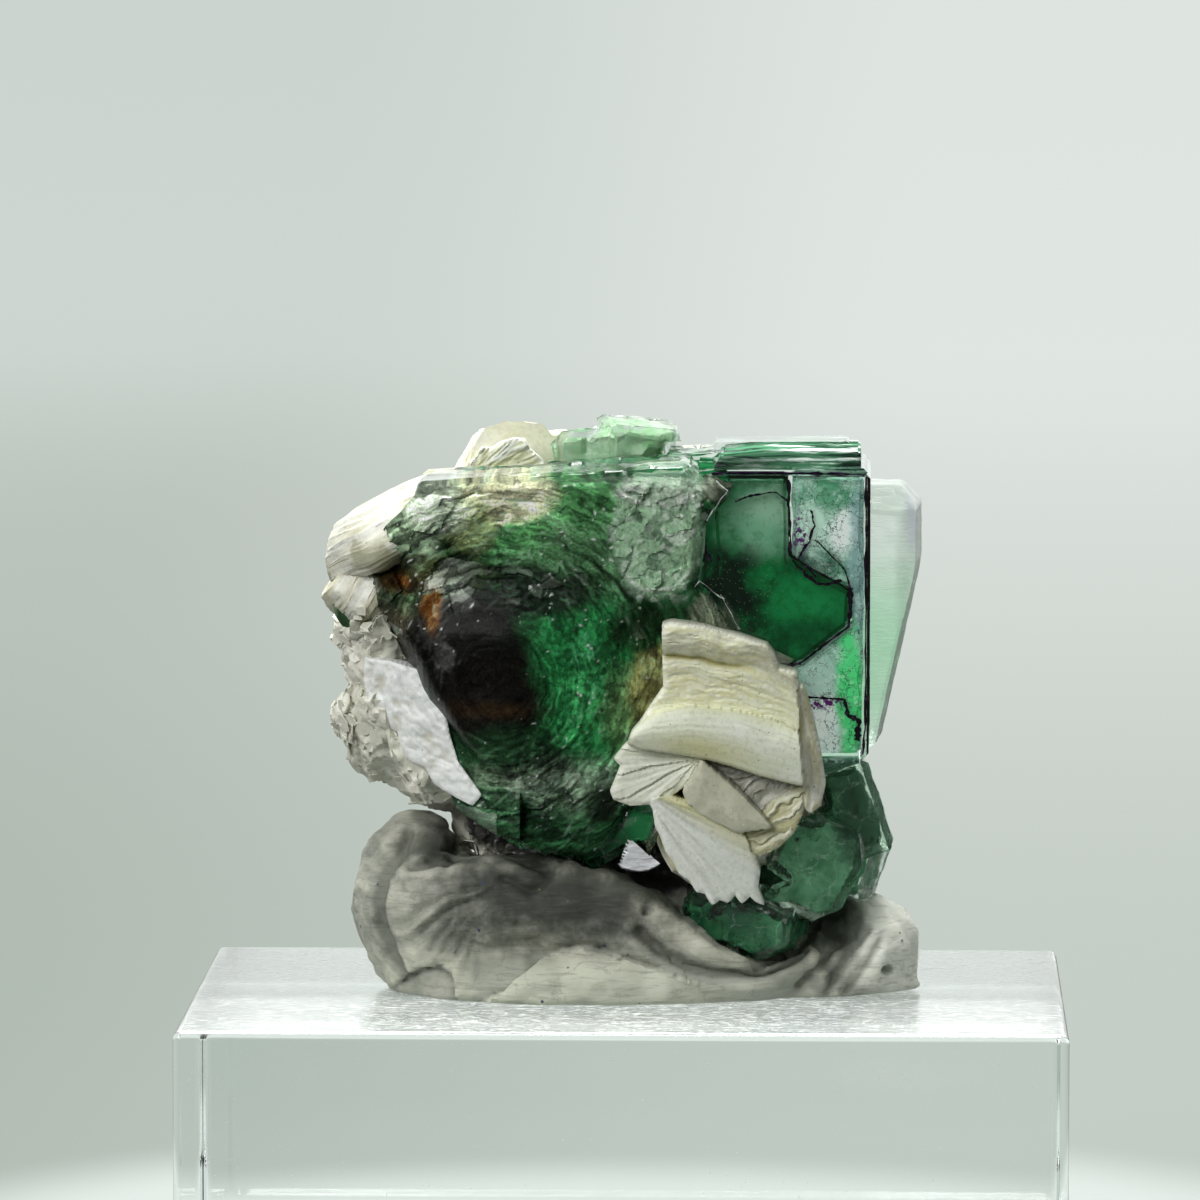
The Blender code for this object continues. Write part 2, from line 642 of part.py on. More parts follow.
def build():
    remove_all(bpy.data.objects)
    noise.seed_set(NOISE_SEED)
    finishes = {
        "acrylic": finish_of("clear_acrylic", 0.03, 1.0, 1.49),
        "green": finish_of("fluorite_green", 0.08, 1.0, 1.434),
        "pale": finish_of("fluorite_pale", 0.08, 1.0, 1.434),
        "cream": finish_of("muscovite_cream", 0.38),
        "white": finish_of("muscovite_white", 0.42),
        "silver": finish_of("mica_silver", 0.25),
        "putty": finish_of("putty_grey", 0.75),
    }
    near = grown_forms(GAP)
    block = display_block()
    fluorite = fluorite_main()
    back = clear_of(back_crystal(), near, "main")
    back.name = "fluorite_back_right"
    top = clear_of(join("fluorite_top", top_crystals()), near, "main")
    fan = clear_of(join("muscovite_fan", fan_books()), near, "main")
    cluster = clear_of(join("fluorite_lower_cluster", lower_crystals()), near, "main", "fan")
    bottom = clear_of(bottom_crystal(), near, "fan", "cluster", "main")
    bottom.name = "fluorite_bottom"
    sheets = clear_of(join("muscovite_top_books", top_books()), near, "main", "top")
    left = clear_of(join("muscovite_left_book", left_books()), near, "main", "sheets")
    silver = clear_of(flake(), near, "main", "fan")
    silver.name = "mica_flake"
    remove_all(near.values())

    far = grown_forms(THINNED_GAP)
    matrix = clear_of(matrix_lump(), far, "main", "back", "top", "fan", "cluster", "bottom",
                      "sheets", "left", "flake")
    matrix.name = "muscovite_matrix"
    thin_out(matrix, MATRIX_FACES)
    tack = clear_of(tack_lump(), far, "matrix", "bottom", "cluster", "fan", "main", "flake")
    tack.name = "mineral_tack"
    thin_out(tack, TACK_FACES)
    remove_all(far.values())
    for made, finish in ((block, "acrylic"), (fluorite, "green"), (back, "pale"), (top, "pale"),
                         (fan, "cream"), (cluster, "green"), (bottom, "green"), (sheets, "cream"),
                         (left, "white"), (silver, "silver"), (matrix, "white"), (tack, "putty")):
        made.data.materials.clear()
        made.data.materials.append(finishes[finish])
        made.data.polygons.foreach_set("material_index", [0] * len(made.data.polygons))
    for made in (tack, matrix, block):
        soften(made)


build()
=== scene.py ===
"""Finish of a phantom fluorite on muscovite, pressed into tack on a clear display block.

The solids come from the frame. This script dresses them: glassy fluorite with its green
phantom and smoky core, sheeted muscovite, folded tack, the clear block, and the stage.
Sizes in tables are millimetres. X runs to the right, Y to the back and Z up.
"""

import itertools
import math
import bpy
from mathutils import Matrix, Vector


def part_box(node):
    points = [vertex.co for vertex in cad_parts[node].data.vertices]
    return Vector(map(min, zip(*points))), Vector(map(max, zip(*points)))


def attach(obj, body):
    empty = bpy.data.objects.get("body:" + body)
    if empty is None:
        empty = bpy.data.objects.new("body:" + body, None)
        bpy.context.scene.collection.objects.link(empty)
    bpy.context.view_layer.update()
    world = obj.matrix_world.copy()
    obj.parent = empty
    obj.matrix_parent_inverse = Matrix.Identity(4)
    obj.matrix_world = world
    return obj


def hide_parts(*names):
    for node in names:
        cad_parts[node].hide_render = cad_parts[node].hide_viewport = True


bl_info = {
    "name": "Phantom Fluorite Specimen",
    "version": (1, 0, 0),
    "blender": (4, 5, 0),
    "location": "View3D > Sidebar > Specimen",
    "description": "Builds the finish of a fluorite and muscovite specimen on a display block",
    "category": "Object",
}

import bmesh
import bpy
import numpy as np
from bpy.props import FloatProperty, FloatVectorProperty, IntProperty, PointerProperty
from mathutils.bvhtree import BVHTree
from mathutils import Matrix, Vector, noise

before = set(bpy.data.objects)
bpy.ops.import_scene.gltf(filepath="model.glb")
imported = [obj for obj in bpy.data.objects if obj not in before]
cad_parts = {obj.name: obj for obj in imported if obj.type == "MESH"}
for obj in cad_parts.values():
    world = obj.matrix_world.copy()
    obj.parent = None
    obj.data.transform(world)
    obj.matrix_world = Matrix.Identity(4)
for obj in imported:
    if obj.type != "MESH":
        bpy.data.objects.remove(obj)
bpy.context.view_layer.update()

MM = 0.001
BODY = "root"
NOISE_SEED = 7
FLUORITE_IOR = 1.434
ACRYLIC_IOR = 1.49
WELD = 1e-6

# The camera that the photograph was taken from, worked out from the display block
CAMERA_PLACE = (20.577, -735.833, 136.420)
CAMERA_TURN = 1.796
CAMERA_TILT = 5.945
CAMERA_LENS = 254.1

# Places in the main crystal
SMOKY_CORE = (-10.9, -5.0, 53.7)
CUBE_FRONT_LEFT = 6.8

# The phantom's outline, as it shows through the cube's front face: (x, z) from its top left
PHANTOM_OUTLINE = (
    (6.6, 70.9), (13.9, 70.9), (14.0, 64.0), (19.3, 61.3), (19.2, 58.4),
    (15.0, 55.1), (13.0, 54.8), (6.6, 54.8),
)
PHANTOM_FRONT = -6.4
PHANTOM_BACK = 6.6


def mm(point):
    return Vector(point) * MM


# Node helpers


def add_node(tree, kind, inputs=None, **settings):
    """A node with its settings, and its inputs linked or set by name."""
    made = tree.nodes.new(kind)
    for name, value in settings.items():
        setattr(made, name, value)
    for name, value in (inputs or {}).items():
        socket = made.inputs[name]
        if isinstance(value, bpy.types.NodeSocket):
            tree.links.new(value, socket)
        else:
            socket.default_value = value
    return made


def calc(tree, operation, *values):
    """A Math node's result."""
    made = tree.nodes.new("ShaderNodeMath")
    made.operation = operation
    for socket, value in zip(made.inputs, values):
        if isinstance(value, bpy.types.NodeSocket):
            tree.links.new(value, socket)
        else:
            socket.default_value = value
    return made.outputs[0]


def vector_calc(tree, operation, *values):
    """A Vector Math node's vector result, or its value for LENGTH, DISTANCE and DOT_PRODUCT."""
    made = tree.nodes.new("ShaderNodeVectorMath")
    made.operation = operation
    for socket, value in zip(made.inputs, values):
        if isinstance(value, bpy.types.NodeSocket):
            tree.links.new(value, socket)
        else:
            socket.default_value = value
    scalar = operation in {"LENGTH", "DISTANCE", "DOT_PRODUCT"}
    return made.outputs["Value" if scalar else "Vector"]


def blend_colours(tree, share, first, second, mode="MIX"):
    made = tree.nodes.new("ShaderNodeMix")
    made.data_type = "RGBA"
    made.blend_type = mode
    for socket, value in ((made.inputs[0], share), (made.inputs[6], first), (made.inputs[7], second)):
        if isinstance(value, bpy.types.NodeSocket):
            tree.links.new(value, socket)
        elif socket == made.inputs[0]:
            socket.default_value = value
        else:
            socket.default_value = (*value, 1.0)
    return made.outputs[2]


def soft_step(tree, value, low, high):
    """0 below low and 1 above high, with a smooth rise between. low may be above high."""
    made = add_node(tree, "ShaderNodeMapRange", interpolation_type="SMOOTHSTEP")
    for name, given in (("Value", value), ("From Min", low), ("From Max", high)):
        if isinstance(given, bpy.types.NodeSocket):
            tree.links.new(given, made.inputs[name])
        else:
            made.inputs[name].default_value = given
    return made.outputs[0]


def start_group(name, inputs, outputs, kind="ShaderNodeTree"):
    """A new node group with its own sockets, given as {name: (type, default)}."""
    tree = bpy.data.node_groups.new(name, kind)
    for label, (socket_kind, default) in inputs.items():
        made = tree.interface.new_socket(label, in_out="INPUT", socket_type=socket_kind)
        if default is not None:
            made.default_value = default
    for label, socket_kind in outputs.items():
        tree.interface.new_socket(label, in_out="OUTPUT", socket_type=socket_kind)
    source = tree.nodes.new("NodeGroupInput")
    sink = tree.nodes.new("NodeGroupOutput")
    return tree, source, sink


def use_group(tree, name, inputs, output=0):
    made = tree.nodes.new("ShaderNodeGroup")
    made.node_tree = bpy.data.node_groups[name]
    for label, value in inputs.items():
        if isinstance(value, bpy.types.NodeSocket):
            tree.links.new(value, made.inputs[label])
        else:
            made.inputs[label].default_value = value
    return made.outputs[output]


# Shared effects, as shader node groups


def fleck_group():
    """Rare short bright dashes, where fracture faces catch the light."""
    tree, source, sink = start_group(
        "Flecks",
        {
            "Position": ("NodeSocketVector", None),
            "Scale": ("NodeSocketFloat", 1.6),
            "Stretch": ("NodeSocketVector", (0.35, 1.0, 1.6)),
            "Share": ("NodeSocketFloat", 0.3),
        },
        {"Mask": "NodeSocketFloat"},
    )
    out = source.outputs
    drift = add_node(tree, "ShaderNodeTexNoise", {"Vector": out["Position"], "Scale": 0.35,
                                                  "Detail": 2.0})
    drift = vector_calc(tree, "SUBTRACT", drift.outputs["Color"], (0.5, 0.5, 0.5))
    drift = vector_calc(tree, "MULTIPLY", drift, (4.0, 4.0, 4.0))
    place = vector_calc(tree, "ADD", out["Position"], drift)
    place = vector_calc(tree, "MULTIPLY", place, out["Stretch"])
    cells = add_node(tree, "ShaderNodeTexNoise", {"Vector": place, "Scale": out["Scale"],
                                                  "Detail": 5.0, "Roughness": 0.85})
    low = calc(tree, "MULTIPLY_ADD", out["Share"], -0.12, 0.68)
    high = calc(tree, "ADD", low, 0.06)
    tree.links.new(soft_step(tree, cells.outputs["Fac"], low, high), sink.inputs["Mask"])


def zone_group():
    """A soft ellipsoid as a mask. Uneven times Noise frays its rim."""
    tree, source, sink = start_group(
        "Soft Zone",
        {
            "Position": ("NodeSocketVector", None),
            "Noise": ("NodeSocketFloat", 0.5),
            "Centre": ("NodeSocketVector", (0, 0, 0)),
            "Radii": ("NodeSocketVector", (1, 1, 1)),
            "Edge": ("NodeSocketFloat", 0.3),
            "Uneven": ("NodeSocketFloat", 0.25),
        },
        {"Mask": "NodeSocketFloat"},
    )
    out = source.outputs
    away = vector_calc(tree, "SUBTRACT", out["Position"], out["Centre"])
    away = vector_calc(tree, "DIVIDE", away, out["Radii"])
    reach = vector_calc(tree, "LENGTH", away)
    push = calc(tree, "MULTIPLY", calc(tree, "SUBTRACT", out["Noise"], 0.5), out["Uneven"])
    reach = calc(tree, "MULTIPLY_ADD", push, 4.0, reach)
    inner = calc(tree, "SUBTRACT", 1.0, out["Edge"])
    outer = calc(tree, "ADD", 1.0, out["Edge"])
    tree.links.new(soft_step(tree, reach, outer, inner), sink.inputs["Mask"])


def crack_group():
    """A network of fine cracks: thin dark lines between uneven cells."""
    tree, source, sink = start_group(
        "Crack Network",
        {
            "Position": ("NodeSocketVector", None),
            "Scale": ("NodeSocketFloat", 0.8),
            "Width": ("NodeSocketFloat", 0.06),
            "Wander": ("NodeSocketFloat", 0.8),
        },
        {"Lines": "NodeSocketFloat"},
    )
    out = source.outputs
    drift = add_node(tree, "ShaderNodeTexNoise", {"Vector": out["Position"], "Scale": 0.9,
                                                  "Detail": 5.0, "Roughness": 0.7})
    drift = vector_calc(tree, "SUBTRACT", drift.outputs["Color"], (0.5, 0.5, 0.5))
    scaled = add_node(tree, "ShaderNodeVectorMath", {0: drift}, operation="SCALE")
    tree.links.new(out["Wander"], scaled.inputs["Scale"])
    place = vector_calc(tree, "ADD", out["Position"], scaled.outputs["Vector"])
    cells = add_node(tree, "ShaderNodeTexVoronoi", {"Vector": place, "Scale": out["Scale"]},
                     feature="DISTANCE_TO_EDGE")
    thin = add_node(tree, "ShaderNodeTexNoise", {"Vector": out["Position"], "Scale": 0.7})
    width = calc(tree, "MULTIPLY", out["Width"], soft_step(tree, thin.outputs["Fac"], 0.3, 0.72))
    tree.links.new(soft_step(tree, cells.outputs["Distance"], width, 0.0), sink.inputs["Lines"])


def speck_group():
    """Scattered specks, each in a cell of its own."""
    tree, source, sink = start_group(
        "Specks",
        {
            "Position": ("NodeSocketVector", None),
            "Scale": ("NodeSocketFloat", 1.0),
            "Size": ("NodeSocketFloat", 0.2),
            "Share": ("NodeSocketFloat", 0.3),
        },
        {"Mask": "NodeSocketFloat"},
    )
    out = source.outputs
    cells = add_node(tree, "ShaderNodeTexVoronoi", {"Vector": out["Position"],
                                                    "Scale": out["Scale"]})
    half = calc(tree, "MULTIPLY", out["Size"], 0.5)
    near = soft_step(tree, cells.outputs["Distance"], out["Size"], half)
    pick = add_node(tree, "ShaderNodeSeparateColor", {"Color": cells.outputs["Color"]})
    chosen = calc(tree, "LESS_THAN", pick.outputs[0], out["Share"])
    tree.links.new(calc(tree, "MULTIPLY", near, chosen), sink.inputs["Mask"])


def edge_group():
    """A band along the edges of an upright box, as a mask: where two of its faces meet."""
    tree, source, sink = start_group(
        "Edge Band",
        {
            "Position": ("NodeSocketVector", None),
            "Centre": ("NodeSocketVector", (0, 0, 0)),
            "Half Size": ("NodeSocketVector", (1, 1, 1)),
            "Width": ("NodeSocketFloat", 0.5),
        },
        {"Mask": "NodeSocketFloat"},
    )
    out = source.outputs
    away = vector_calc(tree, "SUBTRACT", out["Position"], out["Centre"])
    away = vector_calc(tree, "ABSOLUTE", away)
    depth = vector_calc(tree, "SUBTRACT", out["Half Size"], away)
    parts = add_node(tree, "ShaderNodeSeparateXYZ", {"Vector": depth})
    x, y, z = (parts.outputs[axis] for axis in range(3))
    rough = add_node(tree, "ShaderNodeTexNoise", {"Vector": out["Position"], "Scale": 0.9,
                                                  "Detail": 6.0, "Roughness": 0.7})
    width = calc(tree, "MULTIPLY", out["Width"], calc(tree, "MULTIPLY", rough.outputs["Fac"], 2.0))
    middle = calc(tree, "MAXIMUM", calc(tree, "MINIMUM", x, y),
                  calc(tree, "MAXIMUM", calc(tree, "MINIMUM", y, z), calc(tree, "MINIMUM", x, z)))
    lowest = calc(tree, "MINIMUM", x, calc(tree, "MINIMUM", y, z))
    second = calc(tree, "SUBTRACT", calc(tree, "ADD", middle, 0.0), calc(tree, "MULTIPLY", lowest, 0.0))
    tree.links.new(soft_step(tree, second, width, 0.0), sink.inputs["Mask"])


def build_groups():
    for build in (zone_group, crack_group, speck_group, edge_group, fleck_group):
        build()


# Materials


def start_material(name, roughness=0.5, ior=1.45, transmission=0.0, metallic=0.0):
    """A material with its shader, its tree, and the place on the piece in millimetres."""
    material = bpy.data.materials.new(name)
    material.use_nodes = True
    tree = material.node_tree
    shader = tree.nodes["Principled BSDF"]
    shader.inputs["Roughness"].default_value = roughness
    shader.inputs["IOR"].default_value = ior
    shader.inputs["Transmission Weight"].default_value = transmission
    shader.inputs["Metallic"].default_value = metallic
    place = add_node(tree, "ShaderNodeTexCoord").outputs["Object"]
    place = vector_calc(tree, "MULTIPLY", place, (1000.0, 1000.0, 1000.0))
    return material, tree, shader, place


def set_input(tree, shader, name, socket):
    tree.links.new(socket, shader.inputs[name])


def add_bump(tree, shader, height, strength=0.3, distance=0.1):
    """Relief too fine for the mesh. distance is in millimetres."""
    bump = add_node(tree, "ShaderNodeBump", {"Height": height, "Strength": strength,
                                             "Distance": distance * MM})
    tree.links.new(bump.outputs["Normal"], shader.inputs["Normal"])


def noise_of(tree, place, scale, detail=5.0, rough=0.6, stretch=None, distortion=0.0):
    if stretch is not None:
        place = vector_calc(tree, "MULTIPLY", place, stretch)
    return add_node(tree, "ShaderNodeTexNoise", {
        "Vector": place, "Scale": scale, "Detail": detail, "Roughness": rough,
        "Distortion": distortion}).outputs["Fac"]


def soft_zone(tree, place, fray, centre, radii, edge=0.3, uneven=0.25):
    return use_group(tree, "Soft Zone", {
        "Position": place, "Noise": fray, "Centre": centre, "Radii": radii, "Edge": edge,
        "Uneven": uneven})


def paint_zones(tree, place, colour, zones, fray=None):
    """Lays soft colour zones over a colour, in order: (colour, centre, radii, edge, uneven,
    strength)."""
    if fray is None:
        fray = noise_of(tree, place, 0.42, 5.0, 0.62)
    for tint, centre, radii, edge, uneven, strength in zones:
        mask = soft_zone(tree, place, fray, centre, radii, edge, uneven)
        mask = calc(tree, "MULTIPLY", mask, strength)
        colour = blend_colours(tree, mask, colour, tint)
    return colour


def absorb(tree, colour, density):
    """Plain absorption inside a clear piece, in a share lost for each metre."""
    volume = add_node(tree, "ShaderNodeVolumeAbsorption", {"Color": (*colour, 1.0),
                                                           "Density": density})
    output = tree.nodes["Material Output"]
    tree.links.new(volume.outputs["Volume"], output.inputs["Volume"])


def clear_fluorite():
    """The glassy skin of the main crystal: smooth on the cube, splintered on the break."""
    material, tree, shader, place = start_material("clear_fluorite", 0.02, FLUORITE_IOR, 1.0)
    parts = add_node(tree, "ShaderNodeSeparateXYZ", {"Vector": place})
    broken = soft_step(tree, parts.outputs["X"], CUBE_FRONT_LEFT + 1.2, CUBE_FRONT_LEFT - 0.2)
    rims = use_group(tree, "Edge Band", {
        "Position": place, "Centre": (10.4, 0.5, 59.2), "Half Size": (10.6, 8.5, 12.6),
        "Width": 0.5})
    dark = calc(tree, "MULTIPLY", rims, calc(tree, "SUBTRACT", 1.0, broken))
    fine = noise_of(tree, place, 2.4, 4.0, 0.7)
    dark = calc(tree, "MULTIPLY", dark, soft_step(tree, fine, 0.34, 0.50))
    colour = blend_colours(tree, dark, (0.97, 1.0, 0.98), (0.03, 0.035, 0.045))
    set_input(tree, shader, "Base Color", colour)
    absorb(tree, (0.66, 0.93, 0.76), 10.0)
    return material


def smoky_core():
    """The dark and green inside of the broken crystal."""
    material, tree, shader, place = start_material("smoky_core", 0.35)
    shader.inputs["Specular IOR Level"].default_value = 0.0
    fray = noise_of(tree, place, 0.42, 3.0, 0.62)
    colour = blend_colours(tree, soft_step(tree, fray, 0.36, 0.64), (0.008, 0.075, 0.025),
                           (0.026, 0.250, 0.085))
    colour = paint_zones(tree, place, colour, SMOKY_ZONES, fray)
    set_input(tree, shader, "Base Color", colour)
    return material


def phantom_green():
    """The phantom: deep green, milky towards its top, speckled dark on its left."""
    material, tree, shader, place = start_material("phantom_green", 0.4)
    shader.inputs["Specular IOR Level"].default_value = 0.0
    fray = noise_of(tree, place, 0.42, 5.0, 0.62)
    colour = blend_colours(tree, soft_step(tree, fray, 0.36, 0.64), (0.003, 0.110, 0.030),
                           (0.010, 0.270, 0.075))
    colour = paint_zones(tree, place, colour, (
        ((0.030, 0.130, 0.065), (9.0, -6.0, 70.8), (8.0, 9.0, 0.8), 0.6, 0.50, 0.9),
        ((0.280, 0.620, 0.400), (11.4, -6.0, 67.6), (3.4, 5.0, 3.0), 0.55, 0.40, 0.95),
        ((0.480, 0.760, 0.560), (12.4, -6.0, 68.6), (1.8, 5.0, 1.4), 0.7, 0.50, 0.7),
        ((0.015, 0.340, 0.100), (16.4, -6.0, 60.6), (2.8, 6.0, 2.0), 0.7, 0.35, 0.85),
        ((0.002, 0.080, 0.022), (15.6, -6.0, 57.6), (3.4, 6.0, 1.2), 0.7, 0.35, 0.6),
        ((0.004, 0.020, 0.010), (8.8, -6.0, 61.2), (3.1, 6.0, 3.6), 0.45, 0.45, 0.97),
        ((0.240, 0.300, 0.200), (8.0, -6.0, 57.8), (2.0, 6.0, 2.4), 0.22, 0.25, 0.9),
    ), fray)
    mottle = noise_of(tree, place, 1.3, 4.0, 0.7)
    dim = blend_colours(tree, 1.0, colour, (0.45, 0.62, 0.52), "MULTIPLY")
    colour = blend_colours(tree, calc(tree, "MULTIPLY", soft_step(tree, mottle, 0.52, 0.36), 0.6),
                           colour, dim)
    dust = use_group(tree, "Specks", {"Position": place, "Scale": 4.6, "Size": 0.24, "Share": 0.5})
    left = soft_zone(tree, place, fray, (9.0, -6.0, 61.8), (3.8, 6.0, 5.0), 0.5, 0.4)
    share = calc(tree, "MULTIPLY_ADD", left, 0.7, 0.08)
    colour = blend_colours(tree, calc(tree, "MULTIPLY", dust, share), colour, (0.34, 0.46, 0.20))
    set_input(tree, shader, "Base Color", colour)
    return material


def phantom_outline():
    """The crisp dark violet rim of the phantom."""
    material, tree, shader, place = start_material("phantom_outline", 0.35)
    shader.inputs["Specular IOR Level"].default_value = 0.0
    grain = soft_step(tree, noise_of(tree, place, 2.2, 4.0, 0.7), 0.52, 0.74)
    colour = blend_colours(tree, grain, (0.006, 0.004, 0.009), (0.12, 0.06, 0.15))
    set_input(tree, shader, "Base Color", colour)
    return material


def pale_fracture():
    """Pale frosty rims where inner cracks catch the light."""
    material, tree, shader, place = start_material("pale_fracture", 0.3)
    grain = soft_step(tree, noise_of(tree, place, 2.0, 4.0, 0.7), 0.38, 0.62)
    set_input(tree, shader, "Base Color",
              blend_colours(tree, grain, (0.34, 0.42, 0.37), (0.90, 0.94, 0.91)))
    return material


def cracked_zone():
    """The mottled outer growth: white, green and blue grey, crossed by fine dark cracks, with a painted
    glow: its colours also shine faintly as light.
    """
    material, tree, shader, place = start_material("cracked_zone", 0.35)
    shader.inputs["Specular IOR Level"].default_value = 0.0
    broad = noise_of(tree, place, 0.42, 5.0, 0.62, None, 0.6)
    colour = blend_colours(tree, soft_step(tree, broad, 0.38, 0.60), (0.09, 0.32, 0.19),
                           (0.46, 0.70, 0.58))
    colour = paint_zones(tree, place, colour, (
        ((0.050, 0.280, 0.130), (17.6, -7.0, 69.4), (2.6, 4.0, 1.6), 0.6, 0.50, 0.8),
        ((0.620, 0.850, 0.720), (16.2, -7.0, 67.0), (1.4, 4.0, 2.0), 0.5, 0.65, 0.95),
        ((0.900, 0.960, 0.940), (18.9, -7.0, 66.6), (1.5, 4.0, 1.7), 0.5, 0.55, 0.98),
        ((0.030, 0.090, 0.055), (15.6, -7.0, 63.4), (2.2, 4.0, 1.2), 0.5, 0.65, 0.9),
        ((0.260, 0.420, 0.420), (20.2, -7.0, 64.0), (0.9, 4.0, 8.0), 0.5, 0.60, 0.8),
        ((0.800, 0.920, 0.880), (16.9, -7.0, 49.6), (1.8, 4.0, 3.4), 0.3, 0.55, 0.97),
        ((0.920, 0.950, 0.940), (17.0, -7.0, 50.2), (0.9, 4.0, 1.5), 0.6, 0.70, 0.9),
        ((0.460, 0.640, 0.580), (16.6, -7.0, 54.0), (1.6, 4.0, 1.8), 0.4, 0.55, 0.8),
        ((0.090, 0.720, 0.240), (19.4, -7.0, 52.8), (1.2, 4.0, 5.4), 0.30, 0.30, 0.97),
    ), broad)
    pale = soft_step(tree, noise_of(tree, place, 1.5, 5.0, 0.7), 0.55, 0.66)
    colour = blend_colours(tree, calc(tree, "MULTIPLY", pale, 0.45), colour, (0.75, 0.88, 0.83))
    violet = soft_zone(tree, place, broad, (16.7, -7.0, 51.6), (2.1, 4.0, 0.8), 0.4, 0.7)
    upper = soft_zone(tree, place, broad, (15.1, -7.0, 66.4), (0.8, 4.0, 1.8), 0.4, 0.6)
    violet = calc(tree, "MAXIMUM", violet, upper)
    spots = soft_step(tree, noise_of(tree, place, 1.8, 4.0, 0.6), 0.47, 0.56)
    colour = blend_colours(tree, calc(tree, "MULTIPLY", violet, spots), colour, (0.13, 0.02, 0.17))
    lines = use_group(tree, "Crack Network", {"Position": place, "Scale": 0.8, "Width": 0.035,
                                              "Wander": 1.8})
    fine = use_group(tree, "Crack Network", {"Position": place, "Scale": 1.5, "Width": 0.07,
                                             "Wander": 1.4})
    colour = blend_colours(tree, calc(tree, "MULTIPLY", fine, 0.95), colour, (0.02, 0.03, 0.03))
    colour = blend_colours(tree, calc(tree, "MULTIPLY", lines, 0.9), colour, (0.012, 0.012, 0.02))
    set_input(tree, shader, "Base Color", colour)
    # Painted glow: the colours also shine as light, as if lit from behind
    set_input(tree, shader, "Emission Color", colour)
    shader.inputs["Emission Strength"].default_value = 0.22
    return material


def banded_plate():
    """The inside of the raised top plate: green and black growth bands, with painted highlights of white
    streaks towards its right.
    """
    material, tree, shader, place = start_material("banded_plate", 0.4)
    shader.inputs["Specular IOR Level"].default_value = 0.0
    bands = noise_of(tree, place, 0.9, 5.0, 0.65, (0.16, 0.5, 2.2), 0.6)
    colour = blend_colours(tree, soft_step(tree, bands, 0.36, 0.60), (0.010, 0.026, 0.018),
                           (0.110, 0.300, 0.170))
    # Painted highlight: white streaks, strongest towards the right
    light = soft_step(tree, noise_of(tree, place, 0.8, 4.0, 0.6, (0.22, 0.5, 2.4)), 0.50, 0.60)
    side = add_node(tree, "ShaderNodeSeparateXYZ", {"Vector": place}).outputs["X"]
    share = calc(tree, "MULTIPLY_ADD", soft_step(tree, side, 10.0, 14.5), 0.75, 0.25)
    colour = blend_colours(tree, calc(tree, "MULTIPLY", light, share), colour, (0.90, 0.95, 0.92))
    set_input(tree, shader, "Base Color", colour)
    return material


def side_fluorite(name, tint, density, rough, zones=(), bump=0.25):
    """A smaller crystal: clear, tinted through, frosted where it is rough."""
    material, tree, shader, place = start_material(name, rough, FLUORITE_IOR, 1.0)
    fray = noise_of(tree, place, 0.4, 4.0)
    colour = blend_colours(tree, soft_step(tree, fray, 0.4, 0.65),
                           (0.98, 1.0, 0.98), (0.92, 0.97, 0.94))
    colour = paint_zones(tree, place, colour, zones, fray)
    set_input(tree, shader, "Base Color", colour)
    haze = soft_step(tree, noise_of(tree, place, 0.7, 4.0), 0.42, 0.68)
    set_input(tree, shader, "Roughness", calc(tree, "MULTIPLY_ADD", haze, rough, rough * 0.4))
    scratch = noise_of(tree, place, 1.6, 4.0, 0.65, (0.6, 0.6, 2.4))
    add_bump(tree, shader, scratch, bump, 0.25)
    absorb(tree, tint, density)
    return material


def clouded_green(name, dark, light, scale=0.4, zones=()):
    """Cloudy green inside of a smaller crystal."""
    material, tree, shader, place = start_material(name, 0.5)
    shader.inputs["Specular IOR Level"].default_value = 0.1
    cloud = noise_of(tree, place, scale, 6.0, 0.65, None, 0.5)
    colour = blend_colours(tree, soft_step(tree, cloud, 0.36, 0.66), dark, light)
    colour = paint_zones(tree, place, colour, zones, cloud)
    pale = use_group(tree, "Crack Network", {"Position": place, "Scale": 0.28, "Width": 0.03,
                                             "Wander": 1.4})
    colour = blend_colours(tree, calc(tree, "MULTIPLY", pale, 0.4), colour, (0.6, 0.8, 0.66))
    set_input(tree, shader, "Base Color", colour)
    return material


def pearly_muscovite(name, cream, pale, banded=True, zones=()):
    """Cream mica with a pearly sheen. Sheet edges carry their own tone."""
    material, tree, shader, place = start_material(name, 0.42, 1.58)
    shader.inputs["Coat Weight"].default_value = 0.2
    shader.inputs["Coat Roughness"].default_value = 0.3
    cloud = soft_step(tree, noise_of(tree, place, 0.16, 5.0, 0.6), 0.38, 0.64)
    colour = blend_colours(tree, cloud, cream, pale)
    if banded:
        tone = add_node(tree, "ShaderNodeAttribute", attribute_name="sheet_tone").outputs["Fac"]
        yellow = soft_step(tree, tone, 0.50, 0.85)
        colour = blend_colours(tree, calc(tree, "MULTIPLY", yellow, 0.5), colour,
                               (0.70, 0.65, 0.36))
        light = soft_step(tree, tone, 0.45, 0.15)
        colour = blend_colours(tree, calc(tree, "MULTIPLY", light, 0.6), colour,
                               (0.90, 0.91, 0.84))
    grain = noise_of(tree, place, 2.2, 8.0, 0.7)
    colour = blend_colours(tree, calc(tree, "MULTIPLY", soft_step(tree, grain, 0.58, 0.38), 0.22),
                           colour, (0.36, 0.33, 0.20))
    dots = use_group(tree, "Specks", {"Position": place, "Scale": 1.1, "Size": 0.09, "Share": 0.30})
    colour = blend_colours(tree, calc(tree, "MULTIPLY", dots, 0.75), colour, (0.16, 0.13, 0.08))
    colour = paint_zones(tree, place, colour, zones, cloud)
    set_input(tree, shader, "Base Color", colour)
    gloss = soft_step(tree, noise_of(tree, place, 1.1, 5.0), 0.4, 0.7)
    set_input(tree, shader, "Roughness", calc(tree, "MULTIPLY_ADD", gloss, 0.3, 0.28))
    add_bump(tree, shader, grain, 0.35, 0.15)
    return material


